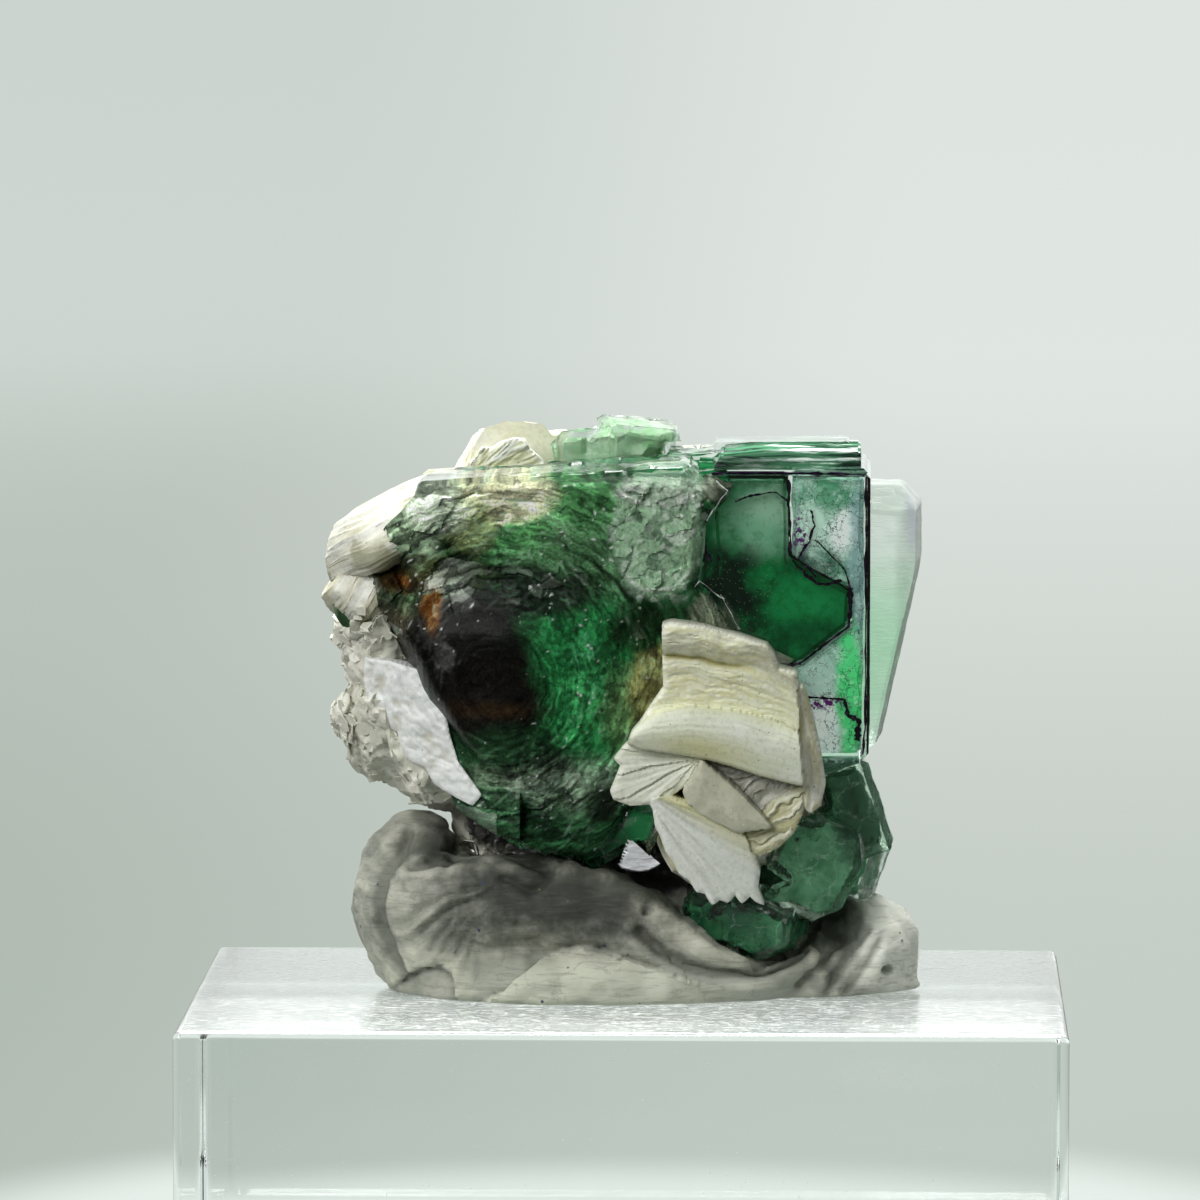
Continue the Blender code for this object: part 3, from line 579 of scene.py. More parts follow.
def petal_muscovite(name):
    """Fused mica in relief: its tone is on the piece, with satin grain, small brown dots and painted
    shine.
    """
    material, tree, shader, place = start_material(name, 0.45, 1.58)
    shader.inputs["Coat Weight"].default_value = 0.15
    shader.inputs["Coat Roughness"].default_value = 0.3
    colour = add_node(tree, "ShaderNodeAttribute", attribute_name="petal_tint").outputs["Color"]
    grain = noise_of(tree, place, 2.6, 5.0, 0.75)
    dim = blend_colours(tree, 1.0, colour, (0.66, 0.66, 0.60), "MULTIPLY")
    colour = blend_colours(tree, calc(tree, "MULTIPLY", soft_step(tree, grain, 0.52, 0.34), 0.5),
                           colour, dim)
    # Painted highlight: small pale spots of shine
    shine = soft_step(tree, noise_of(tree, place, 3.2, 3.0, 0.8), 0.62, 0.70)
    colour = blend_colours(tree, calc(tree, "MULTIPLY", shine, 0.6), colour, (0.95, 0.96, 0.90))
    dots = use_group(tree, "Specks", {"Position": place, "Scale": 1.3, "Size": 0.11, "Share": 0.28})
    colour = blend_colours(tree, calc(tree, "MULTIPLY", dots, 0.8), colour, (0.17, 0.13, 0.07))
    set_input(tree, shader, "Base Color", colour)
    set_input(tree, shader, "Roughness", calc(tree, "MULTIPLY_ADD", grain, 0.5, 0.2))
    add_bump(tree, shader, grain, 0.4, 0.12)
    return material


def silver_mica():
    """The one bright silvery flake."""
    material, tree, shader, place = start_material("silver_mica", 0.3, 1.58, 0.0, 0.75)
    tone = noise_of(tree, place, 1.2, 6.0, 0.6, (0.5, 1.0, 2.0))
    set_input(tree, shader, "Base Color",
              blend_colours(tree, soft_step(tree, tone, 0.3, 0.7), (0.55, 0.56, 0.58),
                            (0.92, 0.93, 0.95)))
    add_bump(tree, shader, tone, 0.6, 0.4)
    return material


def grey_putty():
    """Matt grey tack: streaked where it was stretched, with lint and specks. Painted shade darkens its
    folds and painted light lifts its ledges; painted shadow lies under the specimen, painted light on its
    lower front and right lump.
    """
    material, tree, shader, place = start_material("grey_putty", 0.62, 1.5)
    shader.inputs["Specular IOR Level"].default_value = 0.3
    fray = noise_of(tree, place, 0.3, 5.0, 0.62)
    colour = blend_colours(tree, soft_step(tree, fray, 0.35, 0.66), (0.30, 0.31, 0.26),
                           (0.46, 0.46, 0.39))
    colour = paint_zones(tree, place, colour, (
        # Painted shadow under the broken crystal, and under the matrix at the left
        ((0.026, 0.031, 0.023), (-5.0, -8.0, 34.9), (10.5, 8.0, 4.0), 0.5, 0.35, 0.92),
        ((0.045, 0.050, 0.040), (-14.6, -5.0, 39.2), (4.6, 8.0, 2.0), 0.6, 0.35, 0.8),
        # Painted shade in the hollow under the lower cluster
        ((0.080, 0.085, 0.065), (18.4, -3.0, 31.8), (2.7, 5.0, 2.6), 0.4, 0.25, 0.9),
        # Painted light on the right lump, which lies out of the specimen's shadow
        ((0.930, 0.940, 0.840), (23.6, 0.0, 30.0), (4.2, 9.0, 4.6), 0.35, 0.25, 0.97),
        # Painted light on the lower front, as from the bright block below
        ((0.460, 0.480, 0.400), (-2.0, -11.0, 27.0), (12.0, 4.0, 2.4), 0.4, 0.30, 0.85),
        ((0.480, 0.490, 0.420), (9.0, -9.0, 27.2), (9.0, 5.0, 2.0), 0.5, 0.30, 0.7),
    ), fray)
    fold = add_node(tree, "ShaderNodeAttribute", attribute_name="fold_depth").outputs["Fac"]
    # Painted shade: darker in the creases, by fold_depth
    dim = blend_colours(tree, 1.0, colour, (0.28, 0.30, 0.27), "MULTIPLY")
    colour = blend_colours(tree, calc(tree, "MULTIPLY", soft_step(tree, fold, 0.50, 0.0), 0.6),
                           colour, dim)
    # Painted light: lighter on the raised ledges, by fold_depth
    lift = blend_colours(tree, 1.0, colour, (1.5, 1.48, 1.42), "MULTIPLY")
    colour = blend_colours(tree, calc(tree, "MULTIPLY", soft_step(tree, fold, 0.55, 0.9), 0.8),
                           colour, lift)
    pulled = noise_of(tree, place, 0.9, 6.0, 0.65, (0.35, 0.5, 2.6), 0.8)
    colour = blend_colours(tree, calc(tree, "MULTIPLY", soft_step(tree, pulled, 0.50, 0.34), 0.35),
                           colour, (0.12, 0.12, 0.10))
    grime = use_group(tree, "Crack Network", {"Position": place, "Scale": 0.22, "Width": 0.03,
                                              "Wander": 2.5})
    colour = blend_colours(tree, calc(tree, "MULTIPLY", grime, 0.3), colour, (0.10, 0.10, 0.09))
    blue = use_group(tree, "Specks", {"Position": place, "Scale": 0.55, "Size": 0.13, "Share": 0.22})
    colour = blend_colours(tree, blue, colour, (0.05, 0.07, 0.12))
    brown = use_group(tree, "Specks", {"Position": place, "Scale": 0.8, "Size": 0.11, "Share": 0.10})
    colour = blend_colours(tree, brown, colour, (0.22, 0.15, 0.07))
    set_input(tree, shader, "Base Color", colour)
    fine = noise_of(tree, place, 2.6, 5.0, 0.7)
    height = calc(tree, "ADD", calc(tree, "MULTIPLY", pulled, 0.6), calc(tree, "MULTIPLY", fine, 0.3))
    add_bump(tree, shader, height, 0.5, 0.4)
    return material


def fractured_fluorite():
    """The fractured crystal face: its tone, with painted glints and partly painted sheen, is on the
    piece, under a glassy gloss.
    """
    material, tree, shader, place = start_material("fractured_fluorite", 0.25, FLUORITE_IOR)
    shader.inputs["Specular IOR Level"].default_value = 0.09
    colour = add_node(tree, "ShaderNodeAttribute", attribute_name="petal_tint").outputs["Color"]
    grain = noise_of(tree, place, 4.2, 3.0, 0.8)
    dim = blend_colours(tree, 1.0, colour, (0.45, 0.50, 0.45), "MULTIPLY")
    colour = blend_colours(tree, calc(tree, "MULTIPLY", soft_step(tree, grain, 0.52, 0.36), 0.7),
                           colour, dim)
    set_input(tree, shader, "Base Color", colour)
    set_input(tree, shader, "Roughness", calc(tree, "MULTIPLY_ADD", grain, 0.5, 0.0))
    add_bump(tree, shader, grain, 0.35, 0.10)
    return material


def clear_acrylic():
    """The block: clear, scuffed on top, with dust and faint smears."""
    material, tree, shader, place = start_material("clear_acrylic", 0.03, ACRYLIC_IOR, 1.0)
    parts = add_node(tree, "ShaderNodeSeparateXYZ", {"Vector": place})
    top = soft_step(tree, parts.outputs["Z"], 25.0, 25.35)
    scuffs = soft_step(tree, noise_of(tree, place, 1.3, 8.0, 0.75, (0.5, 1.6, 1.0), 1.5), 0.50, 0.66)
    smear = soft_zone(tree, place, scuffs, (25.0, -25.4, 22.0), (5.5, 1.0, 1.1), 0.3, 0.2)
    dust = use_group(tree, "Specks", {"Position": place, "Scale": 1.1, "Size": 0.09, "Share": 0.5})
    fine = use_group(tree, "Specks", {"Position": place, "Scale": 2.6, "Size": 0.12, "Share": 0.35})
    high = soft_step(tree, parts.outputs["Z"], 15.0, 25.0)
    dust = calc(tree, "MAXIMUM", dust, calc(tree, "MULTIPLY", fine, high))
    rough = calc(tree, "MULTIPLY_ADD", calc(tree, "MULTIPLY", top, scuffs), 0.25, 0.02)
    rough = calc(tree, "ADD", rough, calc(tree, "MULTIPLY", top, 0.19))
    rough = calc(tree, "ADD", rough, calc(tree, "MULTIPLY", smear, 0.25))
    rough = calc(tree, "ADD", rough, calc(tree, "MULTIPLY", dust, 0.5))
    set_input(tree, shader, "Roughness", rough)
    tone = noise_of(tree, place, 0.08, 3.0)
    set_input(tree, shader, "Base Color",
              blend_colours(tree, soft_step(tree, tone, 0.3, 0.7), (0.97, 0.985, 0.98),
                            (0.99, 0.995, 0.99)))
    absorb(tree, (0.80, 0.92, 0.87), 3.0)
    return material


def studio_floor():
    """Pale sweep with its own soft glow, darker in a ring just behind the block."""
    material, tree, shader, place = start_material("studio_floor", 0.9)
    parts = add_node(tree, "ShaderNodeSeparateXYZ", {"Vector": place})
    flat = add_node(tree, "ShaderNodeCombineXYZ", {"X": parts.outputs["X"], "Y": parts.outputs["Y"]})
    reach = vector_calc(tree, "LENGTH", flat.outputs["Vector"])
    colour = blend_colours(tree, soft_step(tree, reach, 60.0, 84.0), (0.56, 0.615, 0.577),
                           (0.30, 0.345, 0.305))
    colour = blend_colours(tree, soft_step(tree, reach, 140.0, 700.0), colour, (0.43, 0.475, 0.435))
    colour = blend_colours(tree, soft_step(tree, reach, 600.0, 1250.0), colour, (0.60, 0.655, 0.62))
    # The glow is painted brighter towards the right, more so far off
    side = soft_step(tree, parts.outputs["X"], -110.0, 40.0)
    far = calc(tree, "MULTIPLY_ADD", soft_step(tree, reach, 200.0, 1000.0), 0.28, 0.21)
    colour = blend_colours(tree, calc(tree, "MULTIPLY", side, far), colour, (0.86, 0.89, 0.87))
    set_input(tree, shader, "Base Color", blend_colours(tree, 0.8, colour, (0.0, 0.0, 0.0)))
    set_input(tree, shader, "Emission Color", colour)
    shader.inputs["Emission Strength"].default_value = 0.9
    shader.inputs["Specular IOR Level"].default_value = 0.1
    return material


# Mesh helpers


def new_piece(name, mesh, material):
    made = bpy.data.objects.new(name, mesh)
    mesh.name = name
    bpy.context.scene.collection.objects.link(made)
    mesh.materials.clear()
    mesh.materials.append(material)
    for face in mesh.polygons:
        face.material_index = 0
    return made


def hand_over(made, slot, *nodes):
    """Gives a finished piece to the frame: what carries it and what it stands for. Its slot is not used.
    """
    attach(made, BODY)
    if nodes:
        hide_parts(*nodes)


def solid_of(node):
    """A welded copy of a CAD solid's mesh."""
    bm = bmesh.new()
    bm.from_mesh(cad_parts[node].data)
    bmesh.ops.remove_doubles(bm, verts=bm.verts[:], dist=WELD)
    bmesh.ops.recalc_face_normals(bm, faces=bm.faces[:])
    points = [vert.co.copy() for vert in bm.verts]
    faces = [[vert.index for vert in face.verts] for face in bm.faces]
    bm.free()
    mesh = bpy.data.meshes.new(node)
    mesh.from_pydata(points, [], faces)
    return mesh


def evaluated(mesh, add_modifiers):
    """The mesh with modifiers applied, as a plain mesh."""
    shell = bpy.data.objects.new("shell", mesh)
    bpy.context.scene.collection.objects.link(shell)
    add_modifiers(shell)
    graph = bpy.context.evaluated_depsgraph_get()
    result = bpy.data.meshes.new_from_object(shell.evaluated_get(graph))
    bpy.data.objects.remove(shell)
    return result


def remeshed(mesh, voxel=0.4, depth=None):
    """Even faces all over: by voxels, or with depth by planes that keep crisp edges."""
    def add(shell):
        step = shell.modifiers.new("Remesh", "REMESH")
        if depth is None:
            step.mode = "VOXEL"
            step.voxel_size = voxel * MM
        else:
            step.mode = "SHARP"
            step.octree_depth = depth
            step.scale = 0.99
            step.sharpness = 1.0
            step.use_remove_disconnected = False
    return evaluated(mesh, add)


def pushed(mesh, push):
    """Moves each point along its normal by push(point in mm, normal), in millimetres."""
    normals = [vert.normal.copy() for vert in mesh.vertices]
    for vert, normal in zip(mesh.vertices, normals):
        vert.co += normal * (push(vert.co / MM, normal) * MM)
    mesh.update()
    return mesh


def smoothed(mesh, angle=35.0):
    mesh.shade_smooth()
    mesh.set_sharp_from_angle(angle=math.radians(angle))
    return mesh


def joined(name, meshes):
    """One mesh from several, with their sheet_tone kept."""
    shells = []
    for mesh in meshes:
        shell = bpy.data.objects.new("part", mesh)
        bpy.context.scene.collection.objects.link(shell)
        shells.append(shell)
    with bpy.context.temp_override(active_object=shells[0], selected_editable_objects=shells,
                                   object=shells[0]):
        bpy.ops.object.join()
    result = shells[0].data
    bpy.data.objects.remove(shells[0])
    result.name = name
    return result


def ripple(point, centre, fineness, spread):
    """Shell-like ripples round a centre, from -1 to 1."""
    away = point - Vector(centre)
    away = Vector((away.x * 0.62, away.y * 0.8, away.z))
    reach = away.length
    facing = away / max(reach, 1e-6)
    return noise.noise(facing * spread + Vector((reach * fineness, 0, reach * fineness * 0.3)))


def smooth(value, low, high):
    share = min(max((value - low) / (high - low), 0.0), 1.0)
    return share * share * (3 - 2 * share)


def plateau(point, scale, amount):
    """Flat steps, one for each uneven cell, as on a splintered break."""
    cells = noise.voronoi(point / scale)[1]
    return (noise.cell(cells[0] * 3.1) - 0.5) * amount


def ribbon(points, width, front, back):
    """A flat wall along a route of (x, z) points, from front to back, closed all round."""
    bm = bmesh.new()
    rows = []
    last = len(points) - 1
    for at, (x, z) in enumerate(points):
        before = Vector(points[max(at - 1, 0)])
        after = Vector(points[min(at + 1, last)])
        along = (after - before).normalized()
        side = Vector((-along.y, along.x)) * (width[at] / 2)
        ring = ((x + side.x, front, z + side.y), (x - side.x, front, z - side.y),
                (x - side.x, back, z - side.y), (x + side.x, back, z + side.y))
        rows.append([bm.verts.new(mm(corner)) for corner in ring])
    for lower, upper in zip(rows, rows[1:]):
        for at in range(4):
            after = (at + 1) % 4
            bm.faces.new((lower[at], lower[after], upper[after], upper[at]))
    bm.faces.new(rows[0])
    bm.faces.new(list(reversed(rows[-1])))
    bmesh.ops.recalc_face_normals(bm, faces=bm.faces[:])
    mesh = bpy.data.meshes.new("ribbon")
    bm.to_mesh(mesh)
    bm.free()
    return mesh


def wander(points, steps, amount, seed):
    """More points along a route, each pushed a little off it."""
    route = []
    for (x1, z1), (x2, z2) in zip(points, points[1:]):
        for step in range(steps):
            share = step / steps
            at = Vector((x1 + (x2 - x1) * share, z1 + (z2 - z1) * share))
            push = noise.noise_vector(Vector((at.x * 1.3, at.y * 1.3, seed)))
            if step:
                at += Vector((push.x, push.y)) * amount
            route.append((at.x, at.y))
    route.append(points[-1])
    return route


def prism(outline, front, back, bevel=0.3):
    """A closed body with the outline of (x, z) points, from front to back."""
    bm = bmesh.new()
    near = [bm.verts.new(mm((x, front, z))) for x, z in outline]
    far = [bm.verts.new(mm((x, back, z))) for x, z in outline]
    bm.faces.new(near)
    bm.faces.new(list(reversed(far)))
    for at in range(len(outline)):
        after = (at + 1) % len(outline)
        bm.faces.new((near[at], far[at], far[after], near[after]))
    bmesh.ops.recalc_face_normals(bm, faces=bm.faces[:])
    bmesh.ops.bevel(bm, geom=bm.edges[:], offset=bevel * MM, segments=2, affect="EDGES",
                    clamp_overlap=True)
    bmesh.ops.triangulate(bm, faces=bm.faces[:])
    mesh = bpy.data.meshes.new("prism")
    bm.to_mesh(mesh)
    bm.free()
    return mesh


# Geometry Nodes


def lattice(across, up, seed):
    """Smooth uneven values from 0 to 1 over two coordinates, the same on each run."""
    table = np.random.default_rng(seed).random((128, 128))
    left, low = np.floor(across).astype(int), np.floor(up).astype(int)
    u, v = across - left, up - low
    u, v = u * u * (3 - 2 * u), v * v * (3 - 2 * v)
    after, above = (left + 1) % 128, (low + 1) % 128
    left, low = left % 128, low % 128
    first = table[left, low] * (1 - u) + table[after, low] * u
    second = table[left, above] * (1 - u) + table[after, above] * u
    return first * (1 - v) + second * v


def layered(across, up, seed, layers=3):
    total = sum(0.5 ** at * lattice(across * 2 ** at, up * 2 ** at, seed + at)
                for at in range(layers))
    return total / (2 - 0.5 ** (layers - 1))


def outline_depth(x, z, outline):
    """How far inside an outline each point lies, below 0 outside it."""
    best = np.full(x.shape, 1e9)
    inside = np.zeros(x.shape, dtype=bool)
    for (ax, az), (bx, bz) in zip(outline, outline[1:] + outline[:1]):
        dx, dz = bx - ax, bz - az
        share = np.clip(((x - ax) * dx + (z - az) * dz) / (dx * dx + dz * dz), 0, 1)
        best = np.minimum(best, np.hypot(x - ax - share * dx, z - az - share * dz))
        if dz:
            inside ^= ((az > z) != (bz > z)) & (x < ax + (z - az) * dx / dz)
    return np.where(inside, best, -best)


def relief_body(name, patches, back, step=0.11, rounding=0.45):
    """A closed body in relief, from patches of (outline, shape). shape gives the depth y and
    the colour of the points that its patch holds."""
    corners = np.array([corner for outline, _ in patches for corner in outline])
    low, high = corners.min(axis=0) - step, corners.max(axis=0) + step
    x, z = np.meshgrid(np.arange(low[0], high[0], step), np.arange(low[1], high[1], step),
                       indexing="ij")
    depths = np.stack([outline_depth(x, z, outline) for outline, _ in patches])
    owner, depth = depths.argmax(axis=0), depths.max(axis=0)
    front = np.zeros(x.shape)
    tint = np.ones((*x.shape, 4))
    for at, (_, shape) in enumerate(patches):
        mine = owner == at
        front[mine], colour = shape(x[mine], z[mine], depths[at][mine])
        tint[mine, :3] = colour
    front += rounding * (1 - np.sqrt(1 - np.clip(1 - depth / rounding, 0, 1) ** 2))
    solid = depth > 0
    cells = solid[:-1, :-1] & solid[1:, :-1] & solid[:-1, 1:] & solid[1:, 1:]
    around = np.zeros(x.shape, dtype=int)
    for part in (around[:-1, :-1], around[1:, :-1], around[:-1, 1:], around[1:, 1:]):
        part += cells
    slope_x, slope_z = np.gradient(depth, step)
    rim = (around > 0) & (around < 4)
    slip = np.clip(depth, 0, 1.5 * step)
    x = np.where(rim, x - slip * slope_x, x)
    z = np.where(rim, z - slip * slope_z, z)
    used = around > 0
    number = np.full(x.shape, -1)
    number[used] = np.arange(used.sum())
    near = np.stack([x[used], front[used], z[used]], axis=1)
    total = len(near)
    quads = np.stack([number[:-1, :-1][cells], number[1:, :-1][cells], number[1:, 1:][cells],
                      number[:-1, 1:][cells]], axis=1)
    starts = quads.ravel()
    ends = np.roll(quads, -1, axis=1).ravel()
    open_edges = ~np.isin(starts * total + ends, ends * total + starts)
    following = {}
    for first, second in zip(starts[open_edges].tolist(), ends[open_edges].tolist()):
        following.setdefault(first, []).append(second)
    faces, points, colours = quads.tolist(), near.tolist(), tint[used].tolist()
    while following:
        start = at = next(iter(following))
        loop = []
        while at != start or not loop:
            loop.append(at)
            after = following[at].pop()
            if not following[at]:
                del following[at]
            at = after
        far = [len(points) + place for place in range(len(loop))]
        points += [(near[place][0], back, near[place][2]) for place in loop]
        colours += [colours[place] for place in loop]
        for place in range(len(loop)):
            after = (place + 1) % len(loop)
            faces.append([loop[after], loop[place], far[place], far[after]])
        faces.append(far[::-1])
    mesh = bpy.data.meshes.new(name)
    mesh.from_pydata([[value * MM for value in point] for point in points], [], faces)
    attribute = mesh.attributes.new("petal_tint", "FLOAT_COLOR", "POINT")
    attribute.data.foreach_set("color", np.array(colours).ravel())
    return smoothed(mesh, 50.0)


def tinted(first, second, share):
    """Colours between two, by a share for each point."""
    share = np.clip(share, 0, 1)[:, None]
    first, second = np.atleast_2d(first), np.atleast_2d(second)
    return first * (1 - share) + second * share


# Edges and outlines of the fan's petals, as (x, z)
FAN_TOP_EDGE = ((3.2, 59.0), (5.6, 58.9), (6.9, 58.7), (8.6, 58.2), (10.3, 57.7), (12.3, 57.0),
                (13.0, 56.0), (14.8, 54.6), (15.3, 53.0))

FAN_MIDDLE_EDGE = ((0.8, 50.3), (2.6, 51.3), (5.6, 51.9), (9.9, 51.5), (13.8, 50.4), (15.3, 49.6))

FAN_LOW_EDGE = ((0.2, 48.6), (1.3, 48.0), (3.9, 47.6), (6.9, 47.2), (9.1, 46.6), (11.7, 45.7),
                (14.2, 45.1), (15.6, 44.8))

FAN_PIVOT = (6.5, 47.3)

SHELL_CENTRE = (9.1, 48.4)

FIBRE_START = (1.4, 44.6)

UPPER_PETAL = ((3.2, 58.9), (4.1, 59.1), (5.6, 58.9), (6.9, 58.7), (8.6, 58.2), (10.3, 57.7),
               (12.3, 57.0), (12.9, 56.2), (13.3, 55.1), (14.8, 54.7), (15.1, 53.2), (15.4, 51.0),
               (15.3, 49.4), (13.8, 50.2), (9.9, 51.2), (5.6, 51.7), (2.6, 51.2), (1.0, 50.0),
               (2.2, 51.8), (3.3, 53.4))

MIDDLE_PETAL = ((0.6, 49.6), (1.3, 50.4), (2.4, 51.5), (3.5, 52.0), (5.6, 52.2), (8.2, 52.0),
                (10.3, 51.7), (12.5, 51.2), (14.0, 50.4), (15.3, 49.6), (15.6, 44.9), (14.2, 45.1),
                (11.7, 45.7), (9.1, 46.6), (6.9, 47.2), (6.0, 47.5), (3.9, 47.7), (1.3, 48.0),
                (0.2, 48.6))

WING_PETALS = ((0.2, 48.6), (3.0, 48.0), (6.5, 47.3), (6.6, 46.6), (5.6, 45.2), (4.1, 44.0),
               (2.2, 43.2), (0.4, 43.1), (-1.0, 43.6), (-1.3, 44.4), (-0.8, 45.6), (-0.4, 46.6),
               (-1.0, 47.2), (-0.2, 48.2))

BEIGE_PETAL = ((6.5, 47.3), (7.1, 47.0), (10.1, 44.5), (13.0, 41.7), (12.6, 41.1), (10.8, 40.9),
               (9.5, 40.8), (8.4, 41.3), (6.5, 42.2), (5.4, 43.3), (5.0, 44.5), (5.6, 46.0))

GREY_HOLLOW = ((6.7, 47.3), (9.1, 46.7), (11.7, 45.9), (15.7, 44.9), (15.6, 43.6), (15.3, 42.3),
               (14.6, 40.8), (13.3, 39.5), (11.7, 38.7), (10.6, 39.0), (10.3, 41.0), (12.5, 41.4),
               (9.9, 44.5))

PAGE_RIM = ((14.6, 53.6), (15.4, 53.4), (16.2, 50.8), (16.8, 48.2), (17.3, 44.9), (16.9, 43.1),
            (16.0, 42.4), (15.2, 43.2), (15.2, 44.9), (14.8, 48.8))

FIBRE_PETAL = ((1.6, 44.4), (3.5, 44.2), (5.6, 43.5), (7.8, 42.2), (9.8, 41.0), (10.9, 40.3),
               (11.3, 38.8), (11.7, 37.3), (11.5, 36.0), (12.1, 34.3), (11.3, 34.7), (10.8, 35.2),
               (10.1, 34.5), (9.5, 35.3), (8.9, 34.6), (8.2, 34.9), (7.5, 34.4), (6.9, 35.5),
               (6.2, 35.6), (5.6, 36.6), (4.7, 37.2), (4.1, 38.4), (3.5, 39.2), (3.1, 40.4),
               (2.6, 41.4), (2.4, 42.8))

def petal_level(x, z, low, high):
    """How far up a petal each point lies: 0 at its low edge and 1 at its high edge."""
    bottom, top = np.interp(x, *zip(*low)), np.interp(x, *zip(*high))
    return (z - bottom) / np.maximum(top - bottom, 0.4)


def upper_petal(x, z, depth):
    """Cream petal of wavy sheets that roll over at its upper left, with a painted shadow line under the
    roll.
    """
    level = petal_level(x, z, FAN_MIDDLE_EDGE, FAN_TOP_EDGE)
    bent = level + 0.16 * (layered(x * 0.35, z * 0.4, 11, 3) - 0.5)
    roll = np.sin(np.pi * np.clip((bent - 0.60) / 0.42, 0, 1)) * np.clip((12.5 - x) / 5.0, 0, 1)
    shelf = np.sin(np.pi * np.clip((bent - 0.36) / 0.24, 0, 1))
    crease = np.exp(-((bent - 0.585) / 0.03) ** 2) * np.clip((11.5 - x) / 3.0, 0, 1)
    lines = layered(bent * 22, x * 0.45, 5)
    fine = layered(bent * 70, x * 1.6, 8, 3)
    front = -12.1 - 0.85 * roll - 0.25 * shelf + 0.45 * crease
    front += -0.22 * (lines - 0.5) - 0.16 * (fine - 0.5)
    colour = tinted((0.90, 0.91, 0.64), (0.83, 0.81, 0.46), (lines - 0.42) * 3.0)
    colour = tinted(colour, (0.93, 0.94, 0.80), (fine - 0.50) * 3.0)
    # Painted shadow: a dark yellow line under the roll, along its crease
    colour = tinted(colour, (0.50, 0.46, 0.16), crease * 0.9)
    colour = tinted(colour, (0.90, 0.91, 0.78), 1.0 - depth / 0.30)
    colour = tinted(colour, colour * 0.62, (level - 0.45) * 2.4)
    return front, colour


def middle_petal(x, z, depth):
    """Smooth satin petal that curls under towards the pivot, with painted shade near the pivot and along
    its lower edge.
    """
    level = petal_level(x, z, FAN_LOW_EDGE, FAN_MIDDLE_EDGE)
    bent = level + 0.10 * (layered(x * 0.3, z * 0.3, 21, 2) - 0.5)
    fine = layered(bent * 26, x * 0.35, 23)
    cloud = layered(x * 0.5, z * 0.7, 25)
    front = -12.3 - 1.15 * np.sin(np.pi * np.clip(0.12 + bent * 0.72, 0, 1))
    front -= 0.08 * (fine - 0.5)
    near = np.exp(-(((x - 6.6) / 4.4) ** 2 + ((level - 0.24) / 0.26) ** 2))
    colour = tinted((0.80, 0.85, 0.68), (0.70, 0.73, 0.58), (fine - 0.45) * 1.6)
    colour = tinted(colour, (0.88, 0.91, 0.80), (cloud - 0.5) * 3.0)
    # Painted shade: yellowish near the pivot and dark along the lower edge, where the petal curls under
    colour = tinted(colour, (0.70, 0.69, 0.38), near)
    colour = tinted(colour, (0.40, 0.38, 0.20), (0.12 - level) * 7.0)
    colour = tinted(colour, (0.76, 0.77, 0.50), (level - 0.84) * 5.0)
    return front, colour


def wing_petals(x, z, depth):
    """Flat pointed petals that spread to the left of the pivot."""
    away_x, away_z = x - FAN_PIVOT[0], z - FAN_PIVOT[1]
    angle = np.degrees(np.arctan2(-away_z, -away_x))
    reach = np.hypot(away_x, away_z)
    ray = angle / 17.0 + 0.7 * layered(reach * 0.35, angle * 0.06, 31, 2)
    saw = ray - np.floor(ray)
    fine = layered(angle * 0.5, reach * 0.4, 33)
    front = -11.8 - 0.22 * saw - 0.14 * (fine - 0.5) + 0.06 * reach
    colour = tinted((0.66, 0.68, 0.50), (0.84, 0.86, 0.72), 0.3 + 0.9 * saw)
    colour = tinted(colour, (0.70, 0.73, 0.60), (0.55 - fine) * 2.0)
    colour = tinted(colour, (0.92, 0.93, 0.88), (fine - 0.60) * 3.0)
    return front, colour


def beige_petal(x, z, depth):
    """The smooth beige flap."""
    ruffle = layered(x * 0.8, z * 0.8, 41, 2)
    front = -12.7 + 0.10 * (44 - z) + 0.14 * (ruffle - 0.5) - 0.25 * np.clip(depth, 0, 1.2)
    colour = tinted((0.56, 0.56, 0.42), (0.68, 0.68, 0.52), (ruffle - 0.3) * 2.0)
    colour = tinted(colour, (0.80, 0.80, 0.64), (0.14 - depth) * 8.0)
    return front, colour


def grey_hollow(x, z, depth):
    """Curved ridges under the petals, painted grey as shade in the hollow, and clear yellowish shell rims
    at the lower right.
    """
    away_x, away_z = x - SHELL_CENTRE[0], z - SHELL_CENTRE[1]
    reach = np.hypot(away_x, away_z * 1.15) + 2.2 * (layered(x * 0.6, z * 0.6, 51, 3) - 0.5)
    ridge = reach * 0.9
    saw = ridge - np.floor(ridge)
    fine = layered(reach * 5.0, np.arctan2(away_z, away_x) * 4.0, 53)
    front = -10.9 - 0.16 * saw - 0.26 * (fine - 0.5)
    low = np.clip((reach - 6.2) / 1.2, 0, 1)
    front -= 0.5 * low
    # Painted shade: grey in the hollow, darker on the sunken side of each ridge
    colour = tinted((0.26, 0.26, 0.20), (0.50, 0.50, 0.42), saw * 0.6 + (fine - 0.4) * 2.2)
    colour = tinted(colour, tinted((0.50, 0.48, 0.25), (0.78, 0.78, 0.60), (fine - 0.35) * 3.0), low)
    return front, colour


def page_rim(x, z, depth):
    """Upright page edges along the right rim."""
    shift = x - np.interp(z, (42.4, 44.9, 48.8, 53.6), (15.6, 15.9, 15.4, 14.7))
    fine = layered(shift * 5.0 + 20, z * 0.7, 61)
    front = -11.3 - 0.25 * (fine - 0.5) + 0.35 * np.clip(shift, 0, 2)
    colour = tinted((0.88, 0.88, 0.76), (0.66, 0.63, 0.40), (fine - 0.42) * 4.0)
    return front, colour


